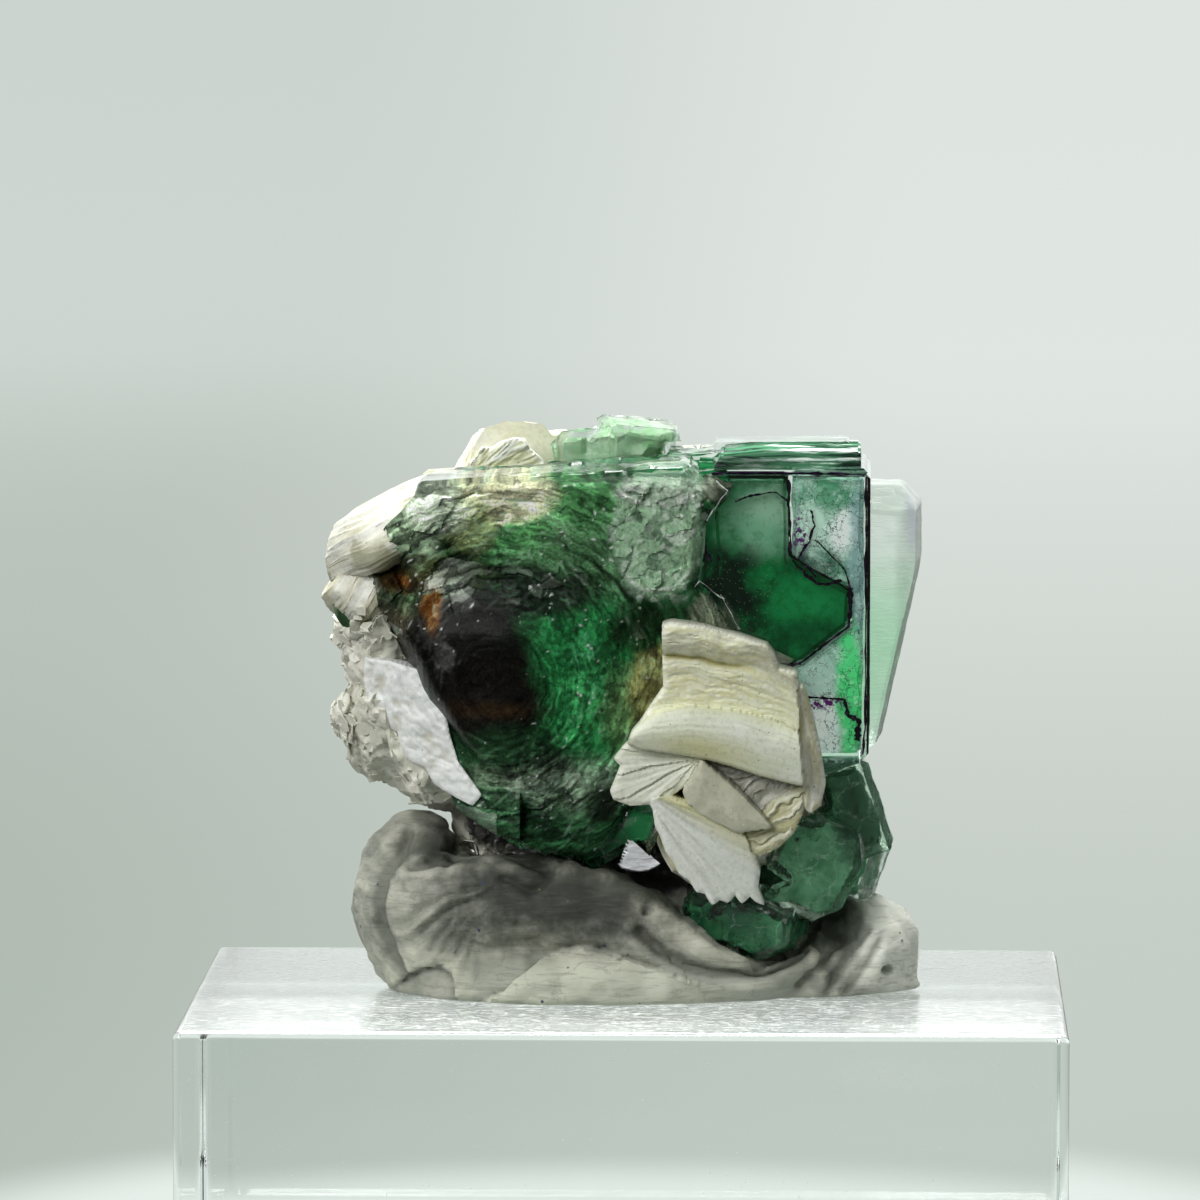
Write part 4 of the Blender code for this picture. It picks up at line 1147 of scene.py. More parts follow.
def fibre_petal(x, z, depth):
    """White fibres that spread down to a ragged lower edge."""
    away_x, away_z = x - FIBRE_START[0], z - FIBRE_START[1]
    angle = np.degrees(np.arctan2(-away_z, away_x))
    reach = np.hypot(away_x, away_z)
    fibres = layered(angle * 0.42 + reach * 0.12, reach * 0.22, 71)
    fine = layered(angle * 1.8, reach * 0.4, 75, 2)
    strip = np.clip((36.0 - angle) / 14.0, 0, 1)
    front = -11.9 - 0.30 * (fibres - 0.5) - 0.15 * (fine - 0.5) - 0.5 * strip
    front += 0.012 * (reach - 5) ** 2
    colour = tinted((0.82, 0.85, 0.77), (0.62, 0.64, 0.57), (0.46 - fibres) * 4.0)
    colour = tinted(colour, (0.93, 0.94, 0.90), (fine - 0.58) * 3.0)
    colour = tinted(colour, (0.68, 0.66, 0.36), strip * (0.4 + 0.9 * fibres))
    return front, colour


def book_tree():
    """A mica book: a rounded polygon of thin sheets with grooved, wavy sides, bowed and fanned."""
    length = "NodeSocketFloat"
    tree, source, sink = start_group(
        "Mica Book",
        {
            "Sheets": ("NodeSocketInt", 30),
            "Width": (length, 0.01),
            "Depth": (length, 0.01),
            "Height": (length, 0.005),
            "Sides": ("NodeSocketFloat", 6.0),
            "Groove": ("NodeSocketFloat", 0.02),
            "Ragged": ("NodeSocketFloat", 0.06),
            "Bulge": ("NodeSocketFloat", 0.06),
            "Round": ("NodeSocketFloat", 0.1),
            "Bow": ("NodeSocketVector", (0, 0, 0)),
            "Slide": ("NodeSocketVector", (0, 0, 0)),
            "Taper": ("NodeSocketFloat", 0.0),
            "Splay": ("NodeSocketFloat", 0.0),
            "Turn": ("NodeSocketVector", (0, 0, 0)),
            "Place": ("NodeSocketVector", (0, 0, 0)),
            "Seed": ("NodeSocketFloat", 0.0),
            "Finish": ("NodeSocketMaterial", None),
        },
        {"Geometry": "NodeSocketGeometry"},
        "GeometryNodeTree",
    )
    given = source.outputs
    rows = calc(tree, "MULTIPLY", given["Sheets"], 2.0)
    column = add_node(tree, "GeometryNodeMeshCylinder", {
        "Vertices": 72, "Side Segments": rows, "Fill Segments": 7, "Radius": 1.0, "Depth": 1.0})
    here = add_node(tree, "GeometryNodeInputPosition").outputs[0]
    parts = add_node(tree, "ShaderNodeSeparateXYZ", {"Vector": here})
    u, v, w = (parts.outputs[axis] for axis in range(3))
    level = calc(tree, "ADD", w, 0.5)
    row = calc(tree, "ROUND", calc(tree, "MULTIPLY", level, rows))
    sheet = calc(tree, "FLOOR", calc(tree, "MULTIPLY", row, 0.5))
    odd = calc(tree, "FLOORED_MODULO", row, 2.0)
    key = calc(tree, "ADD", sheet, given["Seed"])

    # A tone for each sheet, with broader bands of several sheets
    band = add_node(tree, "ShaderNodeTexNoise", {"W": calc(tree, "MULTIPLY", key, 0.17),
                                                 "Scale": 1.0, "Detail": 2.0},
                    noise_dimensions="1D")
    chance = add_node(tree, "ShaderNodeTexWhiteNoise", {"W": key}, noise_dimensions="1D")
    tone = calc(tree, "MULTIPLY_ADD", calc(tree, "SUBTRACT", chance.outputs["Value"], 0.5), 0.45,
                calc(tree, "MULTIPLY_ADD", calc(tree, "SUBTRACT", band.outputs["Fac"], 0.5), 2.4, 0.5))
    toned = add_node(tree, "GeometryNodeStoreNamedAttribute", {
        "Geometry": column.outputs["Mesh"], "Name": "sheet_tone", "Value": tone},
        data_type="FLOAT", domain="POINT")

    # The round column becomes a rounded polygon with uneven sheets and broad waves
    angle = calc(tree, "ARCTAN2", v, u)
    wedge = calc(tree, "DIVIDE", 2 * math.pi, given["Sides"])
    half = calc(tree, "MULTIPLY", wedge, 0.5)
    local = calc(tree, "SUBTRACT", calc(tree, "FLOORED_MODULO", angle, wedge), half)
    side = calc(tree, "DIVIDE", calc(tree, "COSINE", half), calc(tree, "COSINE", local))
    shape = calc(tree, "MULTIPLY_ADD", side, 0.55, 0.45)
    facing = add_node(tree, "ShaderNodeCombineXYZ", {
        "X": calc(tree, "COSINE", angle), "Y": calc(tree, "SINE", angle)}).outputs[0]
    rim = add_node(tree, "ShaderNodeTexNoise", {
        "Vector": facing, "W": calc(tree, "MULTIPLY", key, 0.35), "Scale": 2.0, "Detail": 5.0,
        "Roughness": 0.7}, noise_dimensions="4D")
    wave = add_node(tree, "ShaderNodeTexNoise", {
        "Vector": facing, "W": calc(tree, "MULTIPLY_ADD", level, 1.9, given["Seed"]),
        "Scale": 0.9, "Detail": 1.5}, noise_dimensions="4D")
    uneven = calc(tree, "MULTIPLY", calc(tree, "SUBTRACT", rim.outputs["Fac"], 0.5), given["Ragged"])
    broad = calc(tree, "MULTIPLY", calc(tree, "SUBTRACT", wave.outputs["Fac"], 0.5), given["Bulge"])
    loose = calc(tree, "MULTIPLY", chance.outputs["Value"], calc(tree, "MULTIPLY", given["Ragged"], 0.35))
    shape = calc(tree, "MULTIPLY_ADD", uneven, 2.2, shape)
    shape = calc(tree, "MULTIPLY_ADD", broad, 3.0, shape)
    shape = calc(tree, "SUBTRACT", shape, loose)
    shape = calc(tree, "SUBTRACT", shape, calc(tree, "MULTIPLY", odd, given["Groove"]))
    middle = calc(tree, "MULTIPLY", w, 2.0)
    edge = calc(tree, "POWER", calc(tree, "ABSOLUTE", middle), 2.6)
    shape = calc(tree, "SUBTRACT", shape, calc(tree, "MULTIPLY", edge, given["Round"]))
    narrow = calc(tree, "SUBTRACT", 1.0, calc(tree, "MULTIPLY", given["Taper"], level))
    shape = calc(tree, "MULTIPLY", calc(tree, "MULTIPLY", shape, narrow), 0.5)
    x = calc(tree, "MULTIPLY", calc(tree, "MULTIPLY", u, shape), given["Width"])
    y = calc(tree, "MULTIPLY", calc(tree, "MULTIPLY", v, shape), given["Depth"])
    z = calc(tree, "MULTIPLY", w, given["Height"])
    z = calc(tree, "MULTIPLY", z, calc(tree, "MULTIPLY_ADD", given["Splay"], u, 1.0))
    slide = add_node(tree, "ShaderNodeSeparateXYZ", {"Vector": given["Slide"]})
    x = calc(tree, "MULTIPLY_ADD", slide.outputs[0], w, x)
    y = calc(tree, "MULTIPLY_ADD", slide.outputs[1], w, y)
    bow = add_node(tree, "ShaderNodeSeparateXYZ", {"Vector": given["Bow"]})
    drop = calc(tree, "MULTIPLY", calc(tree, "MULTIPLY", x, x), bow.outputs[0])
    drop = calc(tree, "MULTIPLY_ADD", calc(tree, "MULTIPLY", y, y), bow.outputs[1], drop)
    ripple_key = add_node(tree, "ShaderNodeCombineXYZ", {"X": x, "Y": y})
    ruffle = add_node(tree, "ShaderNodeTexNoise", {
        "Vector": ripple_key.outputs[0], "W": calc(tree, "MULTIPLY", key, 0.05),
        "Scale": 160.0, "Detail": 2.0}, noise_dimensions="4D")
    lift = calc(tree, "MULTIPLY", calc(tree, "SUBTRACT", ruffle.outputs["Fac"], 0.5), 0.0011)
    z = calc(tree, "ADD", calc(tree, "SUBTRACT", z, drop), lift)
    shaped = add_node(tree, "ShaderNodeCombineXYZ", {"X": x, "Y": y, "Z": z})
    moved = add_node(tree, "GeometryNodeSetPosition", {
        "Geometry": toned.outputs[0], "Position": shaped.outputs[0]})
    turned = add_node(tree, "GeometryNodeTransform", {
        "Geometry": moved.outputs[0], "Rotation": given["Turn"], "Translation": given["Place"]})
    finished = add_node(tree, "GeometryNodeSetMaterial", {
        "Geometry": turned.outputs[0], "Material": given["Finish"]})
    tree.links.new(finished.outputs[0], sink.inputs[0])
    return tree


def scatter_tree():
    """Small splinters scattered over a surface, densest near a centre, sunk a little."""
    tree, source, sink = start_group(
        "Scattered Flakes",
        {
            "Geometry": ("NodeSocketGeometry", None),
            "Density": ("NodeSocketFloat", 1e6),
            "Centre": ("NodeSocketVector", (0, 0, 0)),
            "Radii": ("NodeSocketVector", (0.01, 0.01, 0.01)),
            "Size": ("NodeSocketFloat", 0.0004),
            "Thickness": ("NodeSocketFloat", 0.00004),
            "Sides": ("NodeSocketInt", 5),
            "Tumble": ("NodeSocketFloat", 0.9),
            "Sink": ("NodeSocketFloat", 0.0),
            "Stretch": ("NodeSocketVector", (1, 1, 1)),
            "Seed": ("NodeSocketInt", 0),
            "Finish": ("NodeSocketMaterial", None),
        },
        {"Geometry": "NodeSocketGeometry"},
        "GeometryNodeTree",
    )
    given = source.outputs
    here = add_node(tree, "GeometryNodeInputPosition").outputs[0]
    away = vector_calc(tree, "DIVIDE", vector_calc(tree, "SUBTRACT", here, given["Centre"]),
                       given["Radii"])
    near = soft_step(tree, vector_calc(tree, "LENGTH", away), 1.0, 0.35)
    amount = calc(tree, "MULTIPLY", near, given["Density"])
    spread = add_node(tree, "GeometryNodeDistributePointsOnFaces", {
        "Mesh": given["Geometry"], "Density": amount, "Seed": given["Seed"]})
    back = add_node(tree, "ShaderNodeVectorMath", {0: spread.outputs["Normal"]}, operation="SCALE")
    tree.links.new(calc(tree, "MULTIPLY", given["Sink"], -1.0), back.inputs["Scale"])
    sunk = add_node(tree, "GeometryNodeSetPosition", {
        "Geometry": spread.outputs["Points"], "Offset": back.outputs["Vector"]})
    chip = add_node(tree, "GeometryNodeMeshCylinder", {
        "Vertices": given["Sides"], "Radius": given["Size"], "Depth": given["Thickness"]})
    low = add_node(tree, "ShaderNodeVectorMath", {0: (-1, -1, -3)}, operation="SCALE")
    high = add_node(tree, "ShaderNodeVectorMath", {0: (1, 1, 3)}, operation="SCALE")
    tree.links.new(given["Tumble"], low.inputs["Scale"])
    tree.links.new(given["Tumble"], high.inputs["Scale"])
    tilt = add_node(tree, "FunctionNodeRandomValue", {
        "Min": low.outputs["Vector"], "Max": high.outputs["Vector"], "Seed": given["Seed"]},
        data_type="FLOAT_VECTOR")
    turn = add_node(tree, "FunctionNodeRotateRotation", {
        "Rotation": spread.outputs["Rotation"], "Rotate By": tilt.outputs[0]},
        rotation_space="LOCAL")
    grow = add_node(tree, "FunctionNodeRandomValue", {"Min": 0.35, "Max": 1.4,
                                                      "Seed": given["Seed"]}, data_type="FLOAT")
    scale = add_node(tree, "ShaderNodeVectorMath", {0: given["Stretch"]}, operation="SCALE")
    tree.links.new(grow.outputs[1], scale.inputs["Scale"])
    placed = add_node(tree, "GeometryNodeInstanceOnPoints", {
        "Points": sunk.outputs[0], "Instance": chip.outputs["Mesh"],
        "Rotation": turn.outputs[0], "Scale": scale.outputs["Vector"]})
    whole = add_node(tree, "GeometryNodeRealizeInstances", {"Geometry": placed.outputs[0]})
    finished = add_node(tree, "GeometryNodeSetMaterial", {
        "Geometry": whole.outputs[0], "Material": given["Finish"]})
    tree.links.new(finished.outputs[0], sink.inputs[0])
    return tree


def run_tree(tree, mesh, values):
    """The plain mesh that a Geometry Nodes tree makes of a mesh with these named inputs."""
    def add(shell):
        step = shell.modifiers.new("Nodes", "NODES")
        step.node_group = tree
        for item in tree.interface.items_tree:
            if item.item_type == "SOCKET" and item.in_out == "INPUT" and item.name in values:
                step[item.identifier] = values[item.name]
    return evaluated(mesh, add)


# Book tables: centre, size, turn in degrees, sheets, bow, slide, sides, and the shares of the
# half width: groove, ragged, bulge, round, taper, splay
FAN_BOOKS = (
    ((8.3, -5.6, 55.2), (10.8, 9.0, 5.6), (10, 20, 0), 30, (12, 16), (1.2, -0.8), 4,
     (0.020, 0.05, 0.10, 0.05, 0.0, 0.0)),
    ((8.1, -5.6, 50.0), (15.0, 10.4, 6.2), (14, 14, 4), 36, (12, 22), (0, 0), 5,
     (0.006, 0.02, 0.04, 0.22, 0.06, 0.0)),
    ((9.0, -6.0, 44.9), (11.0, 7.4, 4.4), (-26, 26, 0), 16, (10, 10), (0, 0.8), 3,
     (0.004, 0.02, 0.04, 0.16, 0.0, 0.0)),
    ((7.0, -6.0, 39.4), (9.6, 7.0, 6.2), (30, 40, 10), 34, (4, 20), (1.6, -1.8), 4,
     (0.020, 0.08, 0.08, 0.04, 0.0, 0.30)),
    ((13.9, -6.0, 46.6), (11.0, 7.2, 3.8), (6, 80, 0), 18, (10, 20), (0, -0.8), 5,
     (0.018, 0.08, 0.06, 0.05, 0.0, 0.0)),
    ((2.4, -5.6, 45.6), (7.0, 6.2, 3.8), (22, -28, 8), 14, (10, 20), (0, 0), 4,
     (0.010, 0.06, 0.10, 0.12, 0.0, -0.30)),
)
TOP_BOOKS = (
    ((-10.6, 8.0, 67.4), (11.8, 14.2, 3.4), (70, 0, 24), 16, (12, 6), (1.2, 2.0), 6,
     (0.012, 0.07, 0.08, 0.06, 0.0, 0.0)),
    ((-7.2, 11.2, 68.2), (8.8, 11.8, 2.6), (78, -8, -6), 12, (10, 0), (0, 0), 6,
     (0.012, 0.06, 0.08, 0.06, 0.0, 0.0)),
)
LEFT_BOOKS = (
    ((-20.2, 0.4, 66.6), (15.6, 14.6, 5.4), (-4, -27, 8), 34, (16, 12), (0, 0), 6,
     (0.004, 0.02, 0.08, 0.30, 0.10, 0.0)),
    ((-23.2, 0.8, 61.0), (8.6, 10.6, 5.4), (-4, -58, 6), 24, (20, 15), (0, 0), 6,
     (0.006, 0.05, 0.14, 0.24, 0.12, 0.0)),
)


def mica_books(name, books, material):
    """A piece made of mica books."""
    tree = bpy.data.node_groups.get("Mica Book") or book_tree()
    meshes = []
    for at, book in enumerate(books):
        centre, size, turn, sheets, bow, slide, sides, shares = book
        seed = bpy.data.meshes.new("seed")
        seed.from_pydata([(0, 0, 0)], [], [])
        groove, ragged, bulge, rounding, taper, splay = shares
        made = run_tree(tree, seed, {
            "Sheets": sheets, "Width": size[0] * MM, "Depth": size[1] * MM,
            "Height": size[2] * MM, "Sides": float(sides), "Groove": groove, "Ragged": ragged,
            "Bulge": bulge, "Round": rounding, "Bow": (bow[0], bow[1], 0.0),
            "Slide": (slide[0] * MM, slide[1] * MM, 0.0), "Taper": taper, "Splay": splay,
            "Turn": tuple(math.radians(a) for a in turn), "Place": tuple(mm(centre)),
            "Seed": at * 11.3 + len(name), "Finish": material})
        meshes.append(smoothed(made, 40.0))
    return joined(name, meshes)


def scatter(mesh, centre, radii, density, size, thickness, material, sides=5, tumble=0.9,
            sink=0.0, stretch=(1.0, 1.0, 1.0), seed=1):
    """Splinters over a mesh. density is in pieces for each square millimetre."""
    tree = bpy.data.node_groups.get("Scattered Flakes") or scatter_tree()
    return run_tree(tree, mesh.copy(), {
        "Density": density / MM ** 2, "Centre": tuple(mm(centre)), "Radii": tuple(mm(radii)),
        "Size": size * MM, "Thickness": thickness * MM, "Sides": sides, "Tumble": tumble,
        "Sink": sink * MM, "Stretch": stretch, "Seed": seed, "Finish": material})


# Pieces


def fan_petals():
    """The fused front of the fan, petal by petal."""
    patches = (
        (UPPER_PETAL, upper_petal), (MIDDLE_PETAL, middle_petal), (WING_PETALS, wing_petals),
        (BEIGE_PETAL, beige_petal), (GREY_HOLLOW, grey_hollow), (PAGE_RIM, page_rim),
        (FIBRE_PETAL, fibre_petal),
    )
    return relief_body("fan_petals", patches, -7.4)


def crystal_skin():
    """The main crystal's skin, with splintered ripples on its broken left."""
    mesh = remeshed(solid_of("fluorite_main"), depth=7)

    def relief(point, normal):
        broken = smooth(point.x, CUBE_FRONT_LEFT + 2.0, CUBE_FRONT_LEFT - 1.0)
        if not broken:
            return 0.0
        dome = smooth(point.z, 64.0, 58.0)
        push = ripple(point, SMOKY_CORE, 1.1, 2.2) * (0.10 + 0.16 * dome)
        push += plateau(point + Vector((0, 0, ripple(point, SMOKY_CORE, 0.5, 1.0))), 2.4,
                        0.16 + 0.22 * dome)
        return (push - 0.12) * broken
    return smoothed(pushed(mesh, relief), 28.0)


# How far right the broken crystal's inside reaches, as (z, x)
INSIDE_LIMIT = ((40.0, 6.6), (55.0, 9.8), (57.5, 9.9), (58.6, 9.4), (60.4, 8.5), (61.8, 6.8),
                (63.0, 6.5), (65.0, 7.2), (67.0, 7.1), (68.4, 7.8), (70.2, 8.9), (73.0, 9.0))

def broken_inside():
    """The dark and green body inside the broken crystal, just under its skin."""
    mesh = remeshed(solid_of("fluorite_main"), 0.5)
    pushed(mesh, lambda point, normal: -0.75)
    bm = bmesh.new()
    bm.from_mesh(mesh)
    for point, out in (((10.2, 0, 60), (1, 0, 0)), ((0, 7.6, 60), (0, 1, 0))):
        geometry = bm.verts[:] + bm.edges[:] + bm.faces[:]
        bmesh.ops.bisect_plane(bm, geom=geometry, plane_co=mm(point), plane_no=out,
                               clear_outer=True, dist=1e-7)
        rim = [edge for edge in bm.edges if edge.is_boundary]
        bmesh.ops.holes_fill(bm, edges=rim, sides=0)
    levels, limits = zip(*INSIDE_LIMIT)
    for vert in bm.verts:
        point = vert.co / MM
        limit = float(np.interp(point.z, levels, limits)) + 0.5 * noise.noise(point * 0.9)
        if point.x > limit - 1.0:
            vert.co.x = min(point.x, limit) * MM
    bmesh.ops.triangulate(bm, faces=bm.faces[:])
    bm.to_mesh(mesh)
    bm.free()
    mesh = remeshed(mesh, 0.32)

    def relief(point, normal):
        return 0.30 * ripple(point, SMOKY_CORE, 0.9, 2.4) + plateau(point, 3.0, 0.35) - 0.15
    return smoothed(pushed(mesh, relief), 30.0)


def phantom_body():
    """The green phantom: a closed crystal form inside the cube."""
    mesh = prism(PHANTOM_OUTLINE, PHANTOM_FRONT, PHANTOM_BACK, 0.35)
    return smoothed(mesh, 20.0)


def phantom_rims():
    """Dark growth walls that outline the phantom and the cube, and shorter lines beside it."""
    routes = (
        (((14.0, 71.0), (14.1, 67.6), (14.2, 64.4)), 0.30, 0.9),
        (((14.2, 64.4), (16.6, 63.0), (19.3, 61.4)), 0.14, 0.6),
        (((19.35, 61.6), (19.4, 60.0), (19.25, 58.3)), 0.46, 0.3),
        (((19.25, 58.3), (17.0, 56.6), (15.1, 55.1)), 0.20, 0.3),
        (((15.1, 55.1), (13.9, 54.8), (12.6, 55.0)), 0.40, 0.3),
        (((9.4, 69.1), (10.6, 69.6), (12.2, 69.9), (13.0, 69.9), (13.9, 69.2)), 0.12, 0.4),
        (((7.0, 68.1), (6.6, 66.8), (6.7, 65.2), (7.4, 64.0)), 0.30, 0.4),
        (((15.2, 52.2), (17.0, 52.1), (19.0, 51.9)), 0.16, 0.5),
        (((19.0, 51.9), (19.2, 50.6), (20.2, 50.0), (20.0, 48.4)), 0.40, 1.0),
        (((16.3, 65.8), (17.4, 64.8), (18.9, 63.2), (19.4, 61.6)), 0.12, 0.5),
        (((15.9, 68.4), (16.3, 67.0), (15.8, 65.6), (14.9, 64.2), (16.4, 62.6)), 0.20, 1.4),
        (((14.4, 64.0), (15.4, 62.8), (17.0, 62.0), (18.6, 62.2)), 0.26, 1.6),
        (((20.72, 71.3), (20.74, 64.0), (20.72, 57.0), (20.72, 50.0), (20.5, 47.2)), 0.22, 0.4),
        (((7.4, 71.5), (12.0, 71.52), (16.0, 71.5), (20.6, 71.4)), 0.30, 0.3),
    )
    meshes = []
    for at, (route, wide, sway) in enumerate(routes):
        points = wander(route, 8, 0.16 * sway, at * 2.7)
        widths = [wide * (0.35 + 2.0 * abs(noise.noise(Vector((x * 2.1, z * 2.1, at)))))
                  for x, z in points]
        meshes.append(ribbon(points, widths, PHANTOM_FRONT - 1.2, PHANTOM_FRONT - 0.3))
    return joined("phantom_rims", meshes)


def pale_rims():
    """Pale curved cracks round the clear lens on the left of the cube."""
    routes = (
        (((-2.2, 60.5), (-0.9, 61.0), (0.6, 61.3), (3.3, 61.7), (5.6, 61.5), (6.4, 62.4)), 0.09, 0.4),
        (((6.4, 62.4), (8.4, 60.8), (9.8, 58.2)), 0.07, 0.5),
        (((-11.2, 66.8), (-10.4, 68.4), (-9.5, 70.6)), 0.10, 0.6),
        (((7.8, 71.0), (8.8, 70.2), (7.9, 69.0), (7.0, 67.6)), 0.10, 0.5),
    )
    meshes = []
    for at, (route, wide, sway) in enumerate(routes):
        points = wander(route, 8, 0.2 * sway, at * 3.1)
        widths = [wide * (0.15 + 2.2 * abs(noise.noise(Vector((x * 1.4, z * 1.4, at)))))
                  for x, z in points]
        meshes.append(ribbon(points, widths, -9.1, -8.6))
    return joined("pale_rims", meshes)


def outer_growth():
    """The cracked clear growth to the right of the phantom, as thin bodies under the skin."""
    outlines = (
        ((14.3, 71.0), (20.5, 71.0), (20.5, 57.6), (19.6, 57.4), (19.5, 61.5), (14.4, 64.2)),
        ((13.4, 54.6), (15.2, 54.8), (19.4, 58.0), (20.5, 57.4), (20.3, 47.2), (13.9, 47.2)),
    )
    meshes = [prism(outline, PHANTOM_FRONT - 0.7, PHANTOM_BACK + 1.0, 0.2) for outline in outlines]
    for mesh in meshes:
        step = 0.5
        bm = bmesh.new()
        bm.from_mesh(mesh)
        bmesh.ops.triangulate(bm, faces=bm.faces[:])
        for _ in range(4):
            long = [edge for edge in bm.edges if edge.calc_length() > step * 2 * MM]
            bmesh.ops.subdivide_edges(bm, edges=long, cuts=1)
            bmesh.ops.triangulate(bm, faces=bm.faces[:])
        bm.to_mesh(mesh)
        bm.free()
        pushed(mesh, lambda point, normal: 0.35 * noise.noise(point * 0.5) - 0.1)
        smoothed(mesh, 35.0)
    return joined("outer_growth", meshes)


def plate_inside():
    """The banded inside of the cube's raised top plate."""
    outline = ((7.4, 71.7), (20.3, 71.6), (20.2, 73.2), (12.0, 73.3), (8.2, 72.9))
    return smoothed(prism(outline, -4.3, 7.4, 0.2), 30.0)


def smaller_skin(node, depth=6, rough=0.0):
    """A smaller crystal's skin, crisp, with a slight unevenness."""
    mesh = remeshed(solid_of(node), depth=depth)
    if rough:
        pushed(mesh, lambda point, normal: rough * noise.noise(point * 0.7)
               + plateau(point, 1.8, rough * 0.8) - rough * 0.5)
    return smoothed(mesh, 26.0)


def smaller_inside(node, inset, voxel=0.35):
    """A cloudy body inside a smaller crystal."""
    mesh = remeshed(solid_of(node), voxel)
    pushed(mesh, lambda point, normal: -inset)
    mesh = remeshed(mesh, voxel)
    pushed(mesh, lambda point, normal: 0.25 * noise.noise(point * 0.6) + plateau(point, 2.0, 0.3))
    return smoothed(mesh, 30.0)


def crumbly_matrix():
    """The muscovite mass: lumps, pits and small ledges of broken sheets."""
    mesh = remeshed(solid_of("muscovite_matrix"), 0.34)

    def relief(point, normal):
        coarse = noise.noise(point * 0.40) * 0.34
        mid = noise.noise(point * 1.0 + Vector((5, 2, 9))) * 0.24
        fine = noise.noise(point * 2.4) * 0.12 + noise.noise(point * 5.0) * 0.05
        bent = point + noise.noise_vector(point * 0.5) * 0.8
        steps = plateau(bent, 2.2, 0.30) + plateau(bent * 1.3, 0.9, 0.22)
        return coarse + mid + fine + steps - 0.3
    return smoothed(pushed(mesh, relief), 60.0)


TORN_OUTLINE = ((-15.6, 69.0), (-15.2, 70.0), (-14.4, 71.2), (-13.5, 71.8), (-13.2, 72.6),
                (-12.3, 72.5), (-11.6, 73.0), (-10.3, 73.4), (-9.3, 73.3), (-8.9, 72.5),
                (-7.8, 71.5), (-7.4, 70.6), (-6.4, 69.6), (-6.8, 69.0))

FRACTURE_OUTLINE = (
    (-21.9, 65.3), (-20.9, 66.8), (-19.6, 68.0), (-18.0, 69.9), (-16.0, 70.9), (-14.1, 70.8),
    (-11.7, 71.1), (-7.4, 71.3), (-3.9, 71.4), (-0.5, 71.5), (3.0, 71.5), (5.6, 71.4),
    (7.6, 71.2), (9.2, 70.6), (8.6, 69.2), (7.4, 68.2), (6.7, 66.9), (6.5, 65.4), (6.4, 63.3),
    (6.2, 62.0), (7.0, 61.4), (8.4, 59.8), (9.9, 57.4), (10.0, 56.6), (7.0, 56.0), (5.0, 55.0),
    (3.6, 52.1), (2.6, 48.2), (2.0, 46.0), (1.0, 43.0), (-1.0, 39.9), (-3.1, 38.2), (-5.6, 38.2),
    (-8.6, 39.0), (-11.6, 40.4), (-14.6, 42.2), (-16.1, 45.1), (-17.0, 48.6), (-17.8, 51.4),
    (-19.0, 53.0), (-20.8, 53.8), (-22.8, 55.2), (-24.6, 57.0), (-25.6, 58.5), (-25.9, 60.7),
    (-25.5, 62.6), (-24.2, 64.4),
)

WHITE_FACE = ((-22.8, 55.2), (-20.5, 55.0), (-18.0, 54.4), (-16.6, 53.0), (-15.7, 51.2),
              (-15.2, 48.8), (-14.5, 46.6), (-12.4, 43.8), (-13.2, 42.8), (-14.6, 43.4),
              (-16.6, 44.4), (-17.4, 45.8), (-19.5, 46.7), (-19.9, 48.8), (-21.6, 49.6),
              (-22.4, 50.9), (-22.9, 53.1))

def cleaved_face():
    """The smooth bright cleavage face on the matrix's left front, with faint curved steps."""
    def shape(x, z, depth):
        reach = np.hypot(x + 11.5, z - 57.0) + 1.6 * (layered(x * 0.5, z * 0.5, 81, 3) - 0.5)
        fine = layered(reach * 3.0, (x - z) * 0.3, 83)
        warm = layered(x * 0.7, z * 0.7, 85, 3)
        front = -7.0 - 0.46 * (x + 19.0) - 0.18 * (fine - 0.5) - 0.6 * (warm - 0.5)
        colour = tinted((0.88, 0.90, 0.87), (0.66, 0.69, 0.66), (0.46 - fine) * 3.0)
        return front, tinted(colour, (0.62, 0.61, 0.52), (0.40 - warm) * 5.0)
    return relief_body("cleaved_face", ((WHITE_FACE, shape),), -2.6, 0.10, 0.35)


TACK_HOLES = (((1.9, 33.8), 0.45, 0.8), ((22.8, 27.8), 0.45, 1.4), ((18.7, 31.6), 1.7, 1.6))


def route_field(flat, route):
    """For each (x, z) point: distance to the route, and which side of it (positive: left)."""
    best = np.full(len(flat), 1e9)
    side = np.zeros(len(flat))
    for first, second in zip(route, route[1:]):
        start = np.array(first)
        along = np.array(second) - start
        share = np.clip(((flat - start) @ along) / (along @ along), 0.0, 1.0)
        away = flat - start - share[:, None] * along
        reach = np.hypot(away[:, 0], away[:, 1])
        nearer = reach < best
        cross = along[0] * (flat[:, 1] - start[1]) - along[1] * (flat[:, 0] - start[0])
        side = np.where(nearer, np.sign(cross), side)
        best = np.minimum(best, reach)
    return best, side


